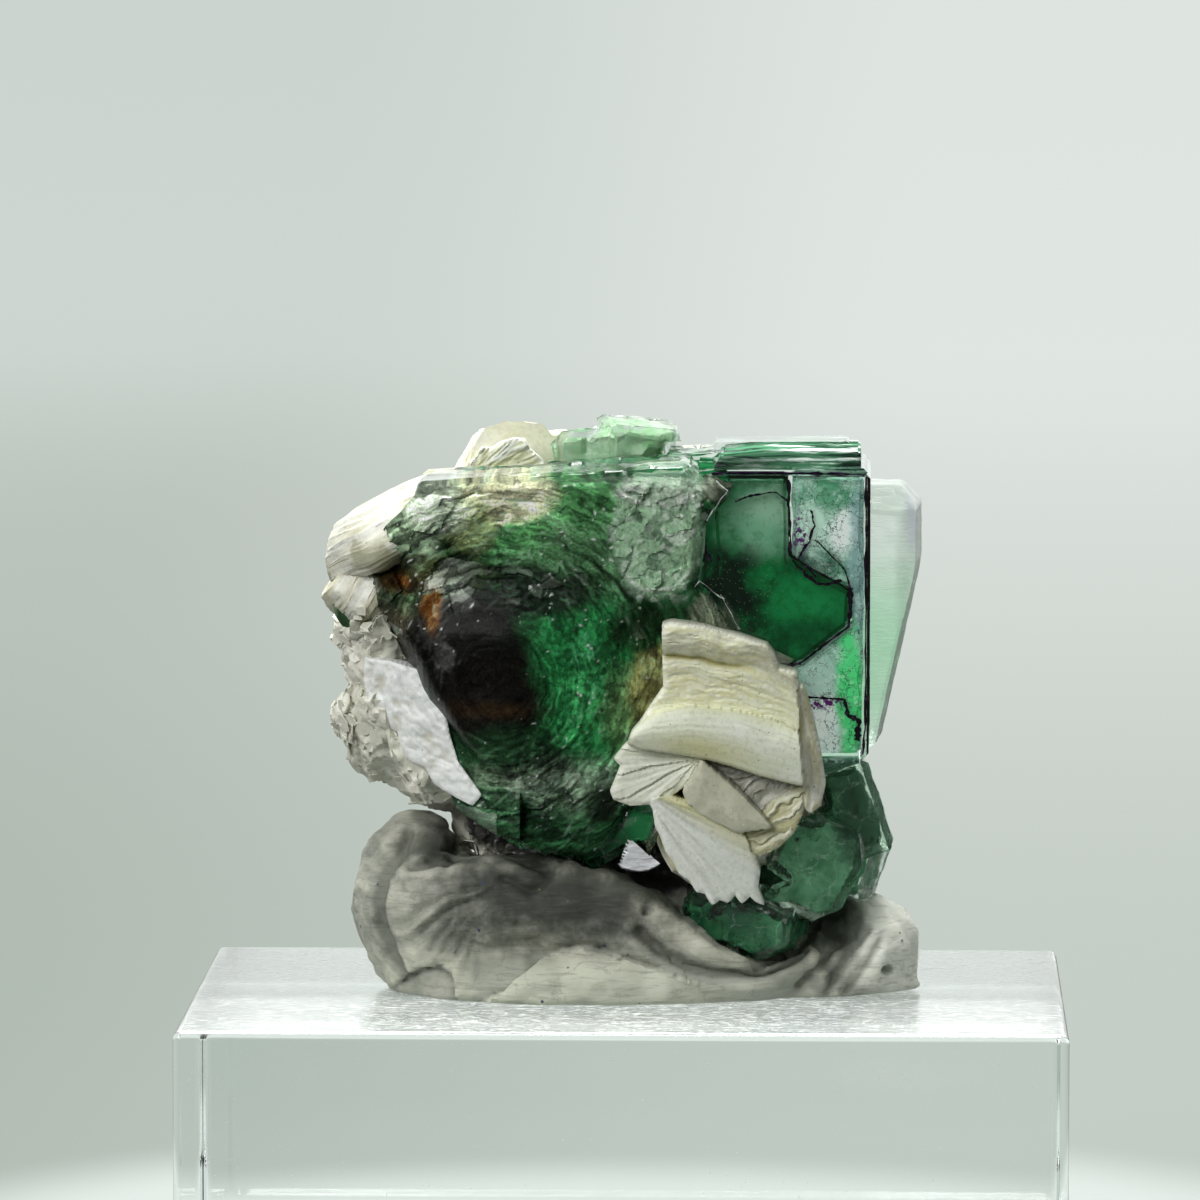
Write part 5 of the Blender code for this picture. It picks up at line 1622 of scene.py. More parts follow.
def folded_tack():
    """The tack: rolled folds, creases, combed finger streaks and small holes."""
    mesh = remeshed(solid_of("mineral_tack"), 0.30)
    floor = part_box("mineral_tack")[0].z / MM
    count = len(mesh.vertices)
    points = np.empty(count * 3)
    normals = np.empty(count * 3)
    mesh.vertices.foreach_get("co", points)
    mesh.vertices.foreach_get("normal", normals)
    points = points.reshape(-1, 3) / MM
    normals = normals.reshape(-1, 3)
    flat = points[:, (0, 2)]
    front = np.clip((0.35 - normals[:, 1]) / 0.6, 0.0, 1.0) * (points[:, 1] < 1.0)
    push = np.zeros(count)
    for route, half, depth in TACK_CREASES:
        near = route_field(flat, route)[0]
        push -= front * depth * np.exp(-(near / half) ** 2)
        push += front * 0.15 * depth * np.exp(-((near - half * 2.4) / half) ** 2)
    for route, height, reach in TACK_LEDGES:
        near, side = route_field(flat, route)
        rise = np.clip(0.5 - side * near / 0.35, 0.0, 1.0)
        push += front * height * rise * np.exp(-(near / reach) ** 2)
        push -= front * 0.3 * (side > 0) * np.exp(-(near / 0.5) ** 2)
    near = route_field(flat, TACK_LIP)[0]
    push += front * 0.75 * np.exp(-(near / 0.65) ** 2)
    for centre, radius, depth in TACK_HOLES:
        near = np.hypot(flat[:, 0] - centre[0], flat[:, 1] - centre[1])
        push -= front * depth * np.exp(-(near / radius) ** 4)
    away = flat - np.array(COMB_ORIGIN)
    reach = np.hypot(away[:, 0], away[:, 1])
    angle = np.degrees(np.arctan2(away[:, 1], away[:, 0])) % 360
    comb = np.clip((angle - 186) / 12, 0, 1) * np.clip((256 - angle) / 14, 0, 1)
    comb *= np.clip((reach - 1.0) / 2.0, 0, 1) * np.clip((12.5 - reach) / 3.0, 0, 1) * front
    right = np.clip((points[:, 0] - 11.0) / 3.0, 0, 1)
    for at in range(count):
        point = Vector(points[at])
        bend = noise.noise_vector(point * 0.16) * 2.2
        here = point + bend
        if comb[at]:
            swing = angle[at] + 9.0 * noise.noise(Vector((reach[at] * 0.25, 3.0, 8.0)))
            push[at] += 0.36 * comb[at] * noise.noise(Vector((swing * 0.21, reach[at] * 0.10, 2.0)))
            push[at] += 0.18 * comb[at] * noise.noise(Vector((swing * 0.55, reach[at] * 0.15, 7.0)))
        along = here.x * 0.55 - here.z * 0.83
        across = here.x * 0.83 + here.z * 0.55
        level = noise.noise(Vector((here.x * 0.20 + here.z * 0.30, here.y * 0.3, here.z * 1.1)))
        slant = noise.noise(Vector((along * 0.16, here.y * 0.3, across * 1.0)))
        push[at] += (0.20 * level * (1 - comb[at])) * (1 - right[at]) + 0.26 * slant * right[at]
        push[at] += 0.07 * noise.noise(Vector((here.x * 0.5, here.y * 0.6, here.z * 3.2)))
    # fold_depth also feeds the tack's painted shade in its creases and painted light on its ledges
    folds = mesh.attributes.new("fold_depth", "FLOAT", "POINT")
    folds.data.foreach_set("value", np.clip(0.5 + push * 1.3, 0.0, 1.0))
    push += np.array([0.22 * noise.noise(Vector(point) * 0.28) for point in points])
    push *= np.clip((points[:, 2] - floor - 0.05) / 0.5, 0.0, 1.0)
    points += normals * push[:, None]
    mesh.vertices.foreach_set("co", (points * MM).ravel())
    mesh.update()
    return smoothed(mesh, 80.0)


def block_mesh():
    """The block, with rounded edges."""
    low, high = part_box("display_block")
    bm = bmesh.new()
    bmesh.ops.create_cube(bm, size=1.0)
    for vert in bm.verts:
        vert.co = Vector((low[axis] if vert.co[axis] < 0 else high[axis] for axis in range(3)))
    bmesh.ops.bevel(bm, geom=bm.edges[:], offset=0.8 * MM, segments=5, affect="EDGES", profile=0.5)
    mesh = bpy.data.meshes.new("block")
    bm.to_mesh(mesh)
    bm.free()
    mesh.shade_smooth()

    def add(shell):
        step = shell.modifiers.new("Weighted", "WEIGHTED_NORMAL")
        step.keep_sharp = True
    return evaluated(mesh, add)


# Settings


# Colour zones in the broken crystal: colour, centre, radii, soft edge, unevenness, strength
SMOKY_ZONES = (
    ((0.020, 0.013, 0.007), (-17.2, -5.0, 61.0), (6.6, 8.0, 4.6), 0.45, 0.50, 0.96),
    ((0.004, 0.003, 0.003), (-12.2, -5.0, 54.4), (7.8, 9.0, 7.8), 0.28, 0.40, 0.99),
    ((0.360, 0.520, 0.390), (-14.8, -6.0, 69.0), (4.6, 6.0, 2.4), 0.40, 0.50, 0.9),
    ((0.260, 0.400, 0.290), (2.8, -7.0, 67.0), (5.0, 6.0, 6.0), 0.20, 0.20, 0.97),
)

# Folds in the front of the tack, as routes of (x, z): route, half width, depth
TACK_CREASES = (
    (((-19.2, 39.4), (-19.8, 38.0), (-21.2, 36.0), (-21.7, 33.8), (-21.4, 31.6), (-20.4, 29.4),
      (-19.2, 27.7)), 0.55, 0.75),
    (((-18.8, 37.3), (-17.0, 37.7), (-14.8, 38.0), (-12.7, 38.6), (-10.9, 38.5), (-9.2, 38.1),
      (-7.0, 37.2)), 0.45, 0.65),
    (((-15.6, 37.6), (-13.4, 39.4), (-11.0, 40.6)), 0.3, 0.4),
    (((-10.6, 36.6), (-8.2, 35.4), (-6.6, 36.4), (-5.7, 37.4)), 0.4, 0.4),
    (((15.1, 26.8), (17.0, 28.5), (18.6, 30.3)), 0.35, 0.45),
    (((17.3, 25.5), (18.1, 27.5), (19.4, 29.7), (21.0, 31.5)), 0.4, 0.5),
    (((19.0, 26.0), (20.8, 28.2), (22.1, 30.5)), 0.35, 0.35),
    (((-9.1, 26.2), (-5.6, 27.0), (-3.9, 27.3), (-1.6, 27.1)), 0.3, 0.25),
    (((1.3, 32.1), (3.3, 30.2), (5.6, 29.1), (7.9, 28.5), (11.0, 28.4), (13.0, 28.7),
      (14.4, 29.4), (15.6, 30.4), (16.2, 31.3)), 0.5, 1.1),
)

# Ledges: the left or lower side of the route stands out by the height
TACK_LEDGES = (
    (((-12.6, 25.6), (-11.8, 26.1), (-9.9, 27.1), (-7.8, 28.7), (-5.6, 30.0), (-3.9, 30.4),
      (-1.3, 30.0), (1.3, 29.2), (4.0, 28.4)), 0.9, 3.0),
    (((-14.6, 26.4), (-14.9, 27.9), (-16.1, 28.7), (-17.8, 28.5), (-19.3, 27.2)), 0.6, 1.6),
)

TACK_LIP = ((-5.7, 37.0), (-2.0, 36.2), (1.3, 34.8), (3.4, 33.2), (5.6, 31.4), (7.6, 29.9),
            (9.8, 29.0), (11.7, 29.2), (13.8, 30.2), (15.4, 31.4))

COMB_ORIGIN = (-10.0, 36.8)

# Colours on the fractured face: colour, centre, radii, soft edge, strength
FRACTURE_ZONES = (
    ((0.090, 0.300, 0.100), (-5.4, 67.6), (7.6, 3.6), 0.7, 0.9),
    ((0.065, 0.160, 0.070), (-3.8, 63.6), (6.4, 3.2), 0.6, 0.9),
    ((0.016, 0.150, 0.042), (-3.4, 57.4), (5.0, 4.0), 0.7, 0.9),
    ((0.020, 0.200, 0.055), (-3.4, 51.8), (4.6, 5.6), 0.7, 0.9),
    ((0.045, 0.290, 0.090), (-3.0, 52.6), (2.4, 3.8), 0.9, 0.7),
    ((0.140, 0.280, 0.110), (0.1, 51.4), (1.9, 3.4), 0.8, 0.9),
    ((0.007, 0.016, 0.008), (-9.0, 61.6), (7.6, 2.1), 0.6, 0.95),
    ((0.940, 0.940, 0.600), (-11.2, 70.0), (5.0, 2.5), 0.4, 0.99),
    ((0.420, 0.520, 0.220), (-14.0, 67.6), (2.6, 2.4), 0.7, 0.9),
    ((0.030, 0.050, 0.018), (-15.6, 63.4), (4.6, 1.7), 0.5, 0.8),
    ((0.030, 0.050, 0.022), (-18.6, 60.2), (4.6, 4.4), 0.5, 0.9),
    ((0.060, 0.050, 0.030), (-20.6, 57.0), (3.2, 3.0), 0.5, 0.9),
    ((0.006, 0.006, 0.005), (-13.8, 56.4), (5.6, 5.4), 0.40, 0.99),
    ((0.007, 0.006, 0.005), (-11.8, 52.0), (5.4, 4.4), 0.50, 0.99),
    ((0.030, 0.016, 0.006), (-11.8, 51.4), (4.0, 0.7), 1.2, 0.6),
    ((0.012, 0.040, 0.016), (-9.6, 47.2), (5.0, 2.6), 0.6, 0.9),
    ((0.026, 0.075, 0.032), (-9.6, 44.6), (5.6, 2.6), 0.6, 0.9),
    ((0.120, 0.170, 0.110), (-10.6, 45.4), (3.6, 0.8), 0.9, 0.7),
    ((0.180, 0.230, 0.170), (-4.4, 44.8), (4.2, 2.2), 0.9, 0.6),
    ((0.010, 0.022, 0.010), (-1.8, 43.2), (1.7, 1.5), 0.4, 0.95),
    ((0.010, 0.022, 0.010), (-5.6, 43.4), (1.3, 0.9), 0.5, 0.8),
    ((0.180, 0.170, 0.060), (2.2, 52.6), (1.9, 4.6), 0.5, 0.9),
    ((0.008, 0.040, 0.012), (1.2, 58.6), (2.5, 2.5), 0.25, 0.95),
    ((0.160, 0.050, 0.008), (-19.6, 62.0), (1.5, 0.8), 1.2, 0.8),
    ((0.180, 0.062, 0.010), (-16.8, 59.9), (0.7, 2.0), 1.2, 0.8),
    ((0.400, 0.560, 0.350), (-19.2, 65.9), (3.2, 2.3), 0.5, 0.92),
    ((0.040, 0.050, 0.018), (-17.2, 63.4), (2.6, 1.3), 0.5, 0.85),
    ((0.680, 0.820, 0.600), (-16.4, 68.8), (2.9, 2.4), 0.5, 0.95),
    ((0.540, 0.560, 0.450), (-24.0, 61.0), (2.1, 1.7), 0.4, 0.95),
    ((0.330, 0.360, 0.270), (-23.4, 58.6), (2.0, 1.7), 0.4, 0.9),
    ((0.100, 0.100, 0.095), (-15.6, 55.8), (1.0, 1.3), 0.5, 0.9),
    ((0.330, 0.520, 0.330), (2.8, 66.6), (3.9, 5.6), 0.14, 0.96),
    ((0.460, 0.580, 0.450), (3.0, 70.2), (3.6, 1.5), 0.4, 0.8),
    ((0.170, 0.200, 0.140), (7.6, 59.2), (2.2, 2.2), 0.3, 0.9),
    ((0.200, 0.230, 0.170), (8.0, 70.2), (1.6, 1.0), 0.4, 0.9),
)

# Where the fractured face is splintered: share, centre, radii
SPLINTERED = ((1.0, (-19.6, 62.0), (6.4, 7.6)), (0.85, (-16.0, 69.0), (4.4, 3.2)),
              (0.30, (-5.0, 65.6), (9.0, 6.0)), (0.70, (-6.0, 43.0), (8.0, 4.6)),
              (0.60, (3.0, 66.6), (4.0, 5.6)), (0.4, (2.4, 53.0), (2.6, 5.6)))

# Where fine threads, partly painted sheen, and painted glints lie: share of threads, share of glints,
# centre, radii
THREADED = ((1.0, 0.7, (-4.4, 64.4), (8.6, 5.6)), (0.8, 1.0, (-9.0, 61.2), (6.4, 2.6)),
            (0.7, 0.5, (-1.6, 57.0), (3.6, 6.0)), (0.30, 0.15, (-3.0, 50.6), (5.4, 6.0)),
            (0.9, 0.6, (-6.6, 44.0), (9.0, 4.4)), (1.0, 0.5, (-19.6, 61.0), (6.4, 8.0)),
            (0.8, 0.5, (-11.0, 69.4), (7.0, 2.6)), (0.06, 0.08, (-12.8, 54.0), (7.0, 7.0)),
            (0.1, 0.5, (3.0, 66.6), (4.2, 5.6)), (0.5, 0.3, (3.0, 53.0), (2.4, 5.0)))

def oval_share(x, z, centre, radii, edge=0.6):
    """1 well inside an oval, 0 outside it."""
    reach = np.hypot((x - centre[0]) / radii[0], (z - centre[1]) / radii[1])
    return np.clip((1 + edge / 2 - reach) / edge, 0, 1)


def shard_cells(across, up, seed):
    """Uneven cells over two coordinates: the way from each cell's middle, its number and how
    far its border is."""
    table = np.random.default_rng(seed).random((64, 64, 2))
    left, low = np.floor(across).astype(int), np.floor(up).astype(int)
    nearest, second = np.full(across.shape, 9.0), np.full(across.shape, 9.0)
    off, rise = np.zeros(across.shape), np.zeros(across.shape)
    number = np.zeros(across.shape, dtype=int)
    for right, higher in itertools.product((-1, 0, 1), repeat=2):
        column, row = (left + right) % 64, (low + higher) % 64
        away = across - left - right - table[column, row, 0]
        above = up - low - higher - table[column, row, 1]
        reach = np.hypot(away, above)
        closer = reach < nearest
        second = np.where(closer, nearest, np.minimum(second, reach))
        off, rise = np.where(closer, away, off), np.where(closer, above, rise)
        number = np.where(closer, column * 64 + row, number)
        nearest = np.where(closer, reach, nearest)
    return off, rise, number, second - nearest


def front_field(node, low, high, step=0.5):
    """The depth of a solid's front over a grid, eased so that nothing stands before it."""
    mesh = solid_of(node)
    tree = BVHTree.FromPolygons([vert.co for vert in mesh.vertices],
                                [face.vertices for face in mesh.polygons])
    across, up = np.arange(low[0], high[0], step), np.arange(low[1], high[1], step)
    field = np.full((len(across), len(up)), np.nan)
    for (i, x), (j, z) in itertools.product(enumerate(across), enumerate(up)):
        hit = tree.ray_cast(mm((x, -60, z)), Vector((0, 1, 0)))[0]
        if hit is not None:
            field[i, j] = hit.y / MM
    for _ in range(12):
        padded = np.pad(field, 1, mode="edge")
        around = np.stack([padded[i:i + field.shape[0], j:j + field.shape[1]]
                           for i, j in itertools.product(range(3), repeat=2)])
        gaps = np.isnan(field) & ~np.isnan(around).all(axis=0)
        field[gaps] = np.nanmean(around[:, gaps], axis=0)
    for ease in (np.min, np.mean, np.mean):
        padded = np.pad(field, 1, mode="edge")
        field = ease(np.stack([padded[i:i + field.shape[0], j:j + field.shape[1]]
                               for i, j in itertools.product(range(3), repeat=2)]), axis=0)
    return field


def sampled(field, low, step, x, z):
    """A grid's values between its points."""
    across = np.clip((x - low[0]) / step, 0, field.shape[0] - 1.001)
    up = np.clip((z - low[1]) / step, 0, field.shape[1] - 1.001)
    left, under = across.astype(int), up.astype(int)
    u, v = across - left, up - under
    return ((field[left, under] * (1 - u) + field[left + 1, under] * u) * (1 - v)
            + (field[left, under + 1] * (1 - u) + field[left + 1, under + 1] * u) * v)


def stroke_field(low, high, step, count, reach, seed, column):
    """A grid of fine strokes that run round the smoky core, dense where THREADED says."""
    rng = np.random.default_rng(seed)
    size = [int((high[axis] - low[axis]) / step) + 2 for axis in (0, 1)]
    field = np.zeros(size)
    x = rng.uniform(low[0], high[0], count)
    z = rng.uniform(low[1], high[1], count)
    share = np.zeros(count)
    for row in THREADED:
        share = np.maximum(share, row[column] * oval_share(x, z, row[2], row[3]))
    share *= np.clip(layered(x * 0.9, z * 0.9, seed + 40, 3) * 5 - 2.2, 0.05, 1)
    keep = rng.random(count) < share
    x, z = x[keep], z[keep]
    tone = rng.random(len(x)) ** 2.0
    length = reach * (0.25 + rng.exponential(0.8, len(x)))
    lean = rng.normal(0.1, 0.50, len(x))
    for part in np.linspace(-0.5, 0.5, 2 * int(reach / step) + 7):
        away_x, away_z = x - SMOKY_CORE[0], z - SMOKY_CORE[2]
        angle = np.arctan2(away_z, away_x) + lean
        at_x = x - np.sin(angle) * part * length - away_x * (part * length / 9) ** 2 * 0.3
        at_z = z + np.cos(angle) * part * length - away_z * (part * length / 9) ** 2 * 0.3
        across = np.clip((at_x - low[0]) / step, 0, size[0] - 1.001)
        up = np.clip((at_z - low[1]) / step, 0, size[1] - 1.001)
        left, under = across.astype(int), up.astype(int)
        u, v = across - left, up - under
        fade = tone * (1 - (2 * part) ** 2)
        for i, j, weight in ((0, 0, (1 - u) * (1 - v)), (1, 0, u * (1 - v)),
                             (0, 1, (1 - u) * v), (1, 1, u * v)):
            np.maximum.at(field, (left + i, under + j), fade * np.sqrt(weight))
    return field


def fractured_face():
    """The broken crystal's splintered front: a dark core with green round it, fine pale threads (partly
    fractures, partly painted sheen) and painted glints along its fractures, and paler clear fragments at
    its left and right."""
    step = 0.105
    low, high = (-27.0, 37.0), (11.5, 73.0)
    solid = front_field("fluorite_main", low, high)
    threads = stroke_field(low, high, step, 9000, 1.1, 91, 0)
    scratches = stroke_field(low, high, step, 160, 2.6, 92, 0)
    glints = stroke_field(low, high, step, 12000, 0.30, 93, 1)

    def shape(x, z, depth):
        wavy = 1.5 * (layered(x * 0.7, z * 0.7, 94, 4) - 0.5)
        colour = tinted((0.012, 0.060, 0.020), (0.030, 0.120, 0.045),
                        layered(x * 0.5, z * 0.5, 95, 4) * 2 - 0.5)
        for tone, centre, radii, edge, share in FRACTURE_ZONES:
            blur = 2.4 * wavy / (radii[0] + radii[1]) * min(edge * 2, 1)
            reach = np.hypot((x - centre[0]) / radii[0], (z - centre[1]) / radii[1]) + blur
            colour = tinted(colour, tone, share * np.clip((1 + edge / 2 - reach) / edge, 0, 1))
        away_x, away_z = x - SMOKY_CORE[0], z - SMOKY_CORE[2]
        reach = np.hypot(away_x, away_z) + 0.5 * wavy
        angle = np.arctan2(away_z, away_x)
        core = oval_share(x, z, (-13.0, 54.4), (6.6, 7.0), 0.5)
        frost = oval_share(x, z, (3.0, 66.6), (4.3, 6.2), 0.2)
        splinter = np.zeros(x.shape)
        for share, centre, radii in SPLINTERED:
            splinter = np.maximum(splinter, share * oval_share(x, z, centre, radii, 0.5))
        lines = layered(reach * 2.6, angle * 1.6, 96)
        hair = layered(reach * 8.0, angle * 3.2, 97, 2)
        relief = -0.5 * (layered(reach * 0.55, angle * 2.0, 98, 2) - 0.5)
        relief -= 0.20 * (lines - 0.5) + 0.10 * (hair - 0.5)
        for scale, along, seed in ((0.9, 5.0, 103), (2.6, 12.0, 104), (5.2, 26.0, 105)):
            number, border = shard_cells(reach * scale + wavy, angle * along + 9, seed)[2:]
            tone = np.random.default_rng(seed).random(4096)[number] - 0.5
            colour = colour * (1 + (0.9 - 0.5 * core - 0.7 * frost) * tone)[:, None]
        for scale, seed in ((0.7, 107), (1.9, 108)):
            off, rise, number, border = shard_cells(x * scale + wavy, z * scale, seed)
            lean, slant, tone = np.random.default_rng(seed).random((3, 4096))[:, number] - 0.5
            relief += frost * 0.5 / scale * (lean * off + slant * rise)
            colour = tinted(colour, (0.75, 0.80, 0.74), frost * (tone - 0.30) * 2.4)
            colour = tinted(colour, (0.04, 0.08, 0.05), frost * (-0.34 - tone) * 4.0)
        splinter = splinter * (1 - frost)
        for scale, along, tilt, seed in ((0.42, 2.6, 0.40, 101), (1.3, 7.0, 0.22, 102)):
            off, rise, number, border = shard_cells(reach * scale, angle * along + 9, seed)
            rng = np.random.default_rng(seed)
            lean, slant, level, tone = (rng.random(4096)[number] - 0.5 for _ in range(4))
            relief += splinter * tilt * (2.2 * lean * off + 2.2 * slant * rise + 0.9 * level)
            colour = colour * (1 + splinter * 1.5 * tone)[:, None]
            colour = tinted(colour, colour * 0.5, splinter * (0.5 - border * 8))
            colour = tinted(colour, (0.60, 0.65, 0.57), splinter * (1 - core) * (tone - 0.43) * 7)
        strength = np.clip(layered(x * 0.45, z * 0.45, 106) * 3.2 - 0.8, 0.1, 1.6) * (1 - frost)
        colour = colour * (1 + strength * (1.1 * (lines - 0.5) + 1.3 * (hair - 0.5)))[:, None]
        # Pale threads: partly real fractures, partly painted sheen
        pale = np.clip(colour * 4.0 + 0.04, 0, (0.34, 0.56, 0.36))
        colour = tinted(colour, pale, 0.9 * sampled(threads, low, step, x, z))
        colour = tinted(colour, (0.50, 0.60, 0.50), 0.8 * sampled(scratches, low, step, x, z))
        # Painted highlights: white glints along the fractures
        spark = sampled(glints, low, step, x, z)
        colour = tinted(colour, (0.95, 0.98, 0.95), (spark - 0.28) * 2.6)
        lens = np.hypot((x - 2.9) / 3.4, (z - 70.6) / 1.6)
        dish = np.hypot((x - 2.7) / 3.5, (z - 65.6) / 4.0)
        for ring, wide, lower, tone in ((lens, 0.10, 70.6, 1.0), (dish, 0.05, 63.8, 0.5)):
            band = np.exp(-((ring - 1) / wide) ** 2) * np.clip((lower - z) * 1.2, 0, 1) * tone
            band *= np.clip(layered(x * 1.6, z * 1.6, 99, 2) * 3.4 - 1.0, 0, 1)
            band *= (x > -1.5)
            colour = tinted(colour, (0.80, 0.82, 0.78), band)
            relief -= 0.25 * band
        front = sampled(solid, low, 0.5, x, z) - 0.30
        beside = -6.5 - 0.46 * (x + 19.0) + 6.0 * np.clip((z - 52.0) / 4.0, 0, 1)
        front = np.minimum(front, np.where(x < -9.0, beside, 0)) + (1 - 0.8 * core) * relief
        front += 1.3 * np.clip(1 - depth / 1.1, 0, 1) ** 2
        return np.maximum(front, -13.4), np.clip(colour, 0.002, 0.96)
    return relief_body("fractured_face", ((FRACTURE_OUTLINE, shape),), -1.5, step, 0.12)


def torn_sheets():
    """Torn cream sheets with white fibres, which stand up behind the broken crystal."""
    def shape(x, z, depth):
        away_x, away_z = x + 15.8, z - 68.2
        angle = np.degrees(np.arctan2(away_z, away_x))
        reach = np.hypot(away_x, away_z)
        fibres = layered(angle * 0.20 + 0.3 * reach, reach * 0.35, 111)
        fine = layered(angle * 0.7, reach * 0.9, 112)
        front = 6.3 - 0.5 * (fibres - 0.5) - 0.4 * (fine - 0.5)
        colour = tinted((0.80, 0.80, 0.55), (0.66, 0.66, 0.40), (fine - 0.4) * 2.5)
        colour = tinted(colour, (0.93, 0.94, 0.88), (fibres - 0.50) * 4.5)
        colour = tinted(colour, (0.90, 0.91, 0.80), (0.35 - depth) * 3.0)
        return front, colour
    return relief_body("torn_sheets", ((TORN_OUTLINE, shape),), 7.2, 0.10, 0.25)


class StageSettings(bpy.types.PropertyGroup):
    key_power: FloatProperty(name="Key Power", description="Power of the soft light above",
                             default=6.5, min=0.0, unit="POWER")
    front_power: FloatProperty(name="Front Power", description="Power of the soft light in front",
                               default=3.6, min=0.0, unit="POWER")
    high_light: FloatProperty(name="High Light", description="Strength of the even light above",
                              default=0.60, min=0.0)
    back_light: FloatProperty(name="Back Light", description="Strength of the even light behind",
                              default=1.25, min=0.0)
    front_light: FloatProperty(name="Front Light", description="Strength of the even light in front",
                               default=0.13, min=0.0)
    low_light: FloatProperty(name="Low Light", description="Strength of the even light below",
                             default=0.14, min=0.0)
    light_colour: FloatVectorProperty(name="Light Colour", description="Colour of the even light",
                                      subtype="COLOR", default=(0.93, 0.97, 0.94), min=0.0, max=1.0)
    floor_radius: FloatProperty(name="Floor Radius", description="Radius of the flat floor",
                                default=1.1, min=0.1, unit="LENGTH")
    sweep_radius: FloatProperty(name="Sweep Radius", description="Radius of the curve up the wall",
                                default=0.4, min=0.05, unit="LENGTH")


class MicaSettings(bpy.types.PropertyGroup):
    cream: FloatVectorProperty(name="Cream", description="Colour of the mica in front",
                               subtype="COLOR", default=(0.70, 0.66, 0.44), min=0.0, max=1.0)
    white: FloatVectorProperty(name="White", description="Colour of the pale mica",
                               subtype="COLOR", default=(0.76, 0.755, 0.66), min=0.0, max=1.0)
    flake_size: FloatProperty(name="Flake Size", description="Radius of a loose mica flake",
                              default=0.0006, min=0.0001, unit="LENGTH")
    flake_density: FloatProperty(name="Flake Density", description="Flakes for each square mm",
                                 default=0.45, min=0.0)


# Operators


class SPECIMEN_OT_stage(bpy.types.Operator):
    """Adds the pale sweep, the soft lights and the camera"""

    bl_idname = "specimen.stage"
    bl_label = "Stage"

    def execute(self, context):
        settings = context.scene.specimen_stage
        scene = context.scene
        world = bpy.data.worlds.new("studio_light")
        world.use_nodes = True
        tree = world.node_tree
        facing = add_node(tree, "ShaderNodeTexCoord").outputs["Generated"]
        parts = add_node(tree, "ShaderNodeSeparateXYZ", {"Vector": facing})
        behind = soft_step(tree, parts.outputs["Y"], 0.10, 0.90)
        level = calc(tree, "MULTIPLY_ADD", behind, settings.back_light - settings.front_light,
                     settings.front_light)
        above = soft_step(tree, parts.outputs["Z"], 0.25, 0.90)
        lit = calc(tree, "MULTIPLY_ADD", above, calc(tree, "SUBTRACT", settings.high_light, level),
                   level)
        below = soft_step(tree, parts.outputs["Z"], 0.02, -0.15)
        strength = calc(tree, "MULTIPLY_ADD", below,
                        calc(tree, "SUBTRACT", settings.low_light, lit), lit)
        background = tree.nodes["Background"]
        background.inputs["Color"].default_value = (*settings.light_colour, 1.0)
        tree.links.new(strength, background.inputs["Strength"])
        scene.world = world
        scene.view_settings.view_transform = "Standard"

        bm = bmesh.new()
        profile = [(0.0, -0.0002)]
        for step in range(1, 9):
            profile.append((settings.floor_radius * step / 8, -0.0002))
        for step in range(1, 13):
            angle = math.radians(90 * step / 12)
            profile.append((settings.floor_radius + settings.sweep_radius * math.sin(angle),
                            settings.sweep_radius * (1 - math.cos(angle)) - 0.0002))
        verts = [bm.verts.new((reach, 0, height)) for reach, height in profile]
        edges = [bm.edges.new(pair) for pair in zip(verts, verts[1:])]
        bmesh.ops.spin(bm, geom=verts + edges, cent=(0, 0, 0), axis=(0, 0, 1),
                       angle=2 * math.pi, steps=96)
        bmesh.ops.remove_doubles(bm, verts=bm.verts[:], dist=1e-5)
        bmesh.ops.recalc_face_normals(bm, faces=bm.faces[:])
        mesh = bpy.data.meshes.new("sweep")
        bm.to_mesh(mesh)
        bm.free()
        mesh.shade_smooth()
        sweep = new_piece("sweep", mesh, studio_floor())
        sweep.visible_diffuse = False
        sweep.visible_glossy = False

        self.add_light("key_light", (-0.06, 0.16, 0.66), (0.40, 0.30), settings.key_power)
        self.add_light("front_light", (-0.42, -0.50, 0.42), (0.46, 0.40), settings.front_power)

        turn, tilt = math.radians(CAMERA_TURN), math.radians(CAMERA_TILT)
        across = Vector((math.cos(turn), math.sin(turn), 0))
        above = Vector((-math.sin(turn) * math.sin(tilt), math.cos(turn) * math.sin(tilt),
                        math.cos(tilt)))
        ahead = Vector((-math.sin(turn) * math.cos(tilt), math.cos(turn) * math.cos(tilt),
                        -math.sin(tilt)))
        lens = bpy.data.cameras.new("camera")
        lens.lens = CAMERA_LENS
        lens.clip_start = 0.01
        camera = bpy.data.objects.new("camera", lens)
        scene.collection.objects.link(camera)
        facing = Matrix((across, above, -ahead)).transposed().to_4x4()
        camera.matrix_world = Matrix.Translation(mm(CAMERA_PLACE)) @ facing
        scene.camera = camera
        return {"FINISHED"}

    def add_light(self, name, place, size, power):
        """A soft rectangular light that faces the specimen."""
        data = bpy.data.lights.new(name, "AREA")
        data.shape = "RECTANGLE"
        data.size, data.size_y = size
        data.energy = power
        light = bpy.data.objects.new(name, data)
        bpy.context.scene.collection.objects.link(light)
        light.location = place
        target = Vector((0, 0, 0.05))
        light.rotation_euler = (target - Vector(place)).to_track_quat("-Z", "Y").to_euler()


class SPECIMEN_OT_block(bpy.types.Operator):
    """Makes the clear display block"""

    bl_idname = "specimen.block"
    bl_label = "Display Block"

    def execute(self, context):
        made = new_piece("clear_block", block_mesh(), clear_acrylic())
        hand_over(made, "clear_acrylic", "display_block")
        return {"FINISHED"}


class SPECIMEN_OT_tack(bpy.types.Operator):
    """Makes the folded tack under the specimen"""

    bl_idname = "specimen.tack"
    bl_label = "Mineral Tack"

    def execute(self, context):
        made = new_piece("folded_tack", folded_tack(), grey_putty())
        hand_over(made, "putty", "mineral_tack")
        return {"FINISHED"}


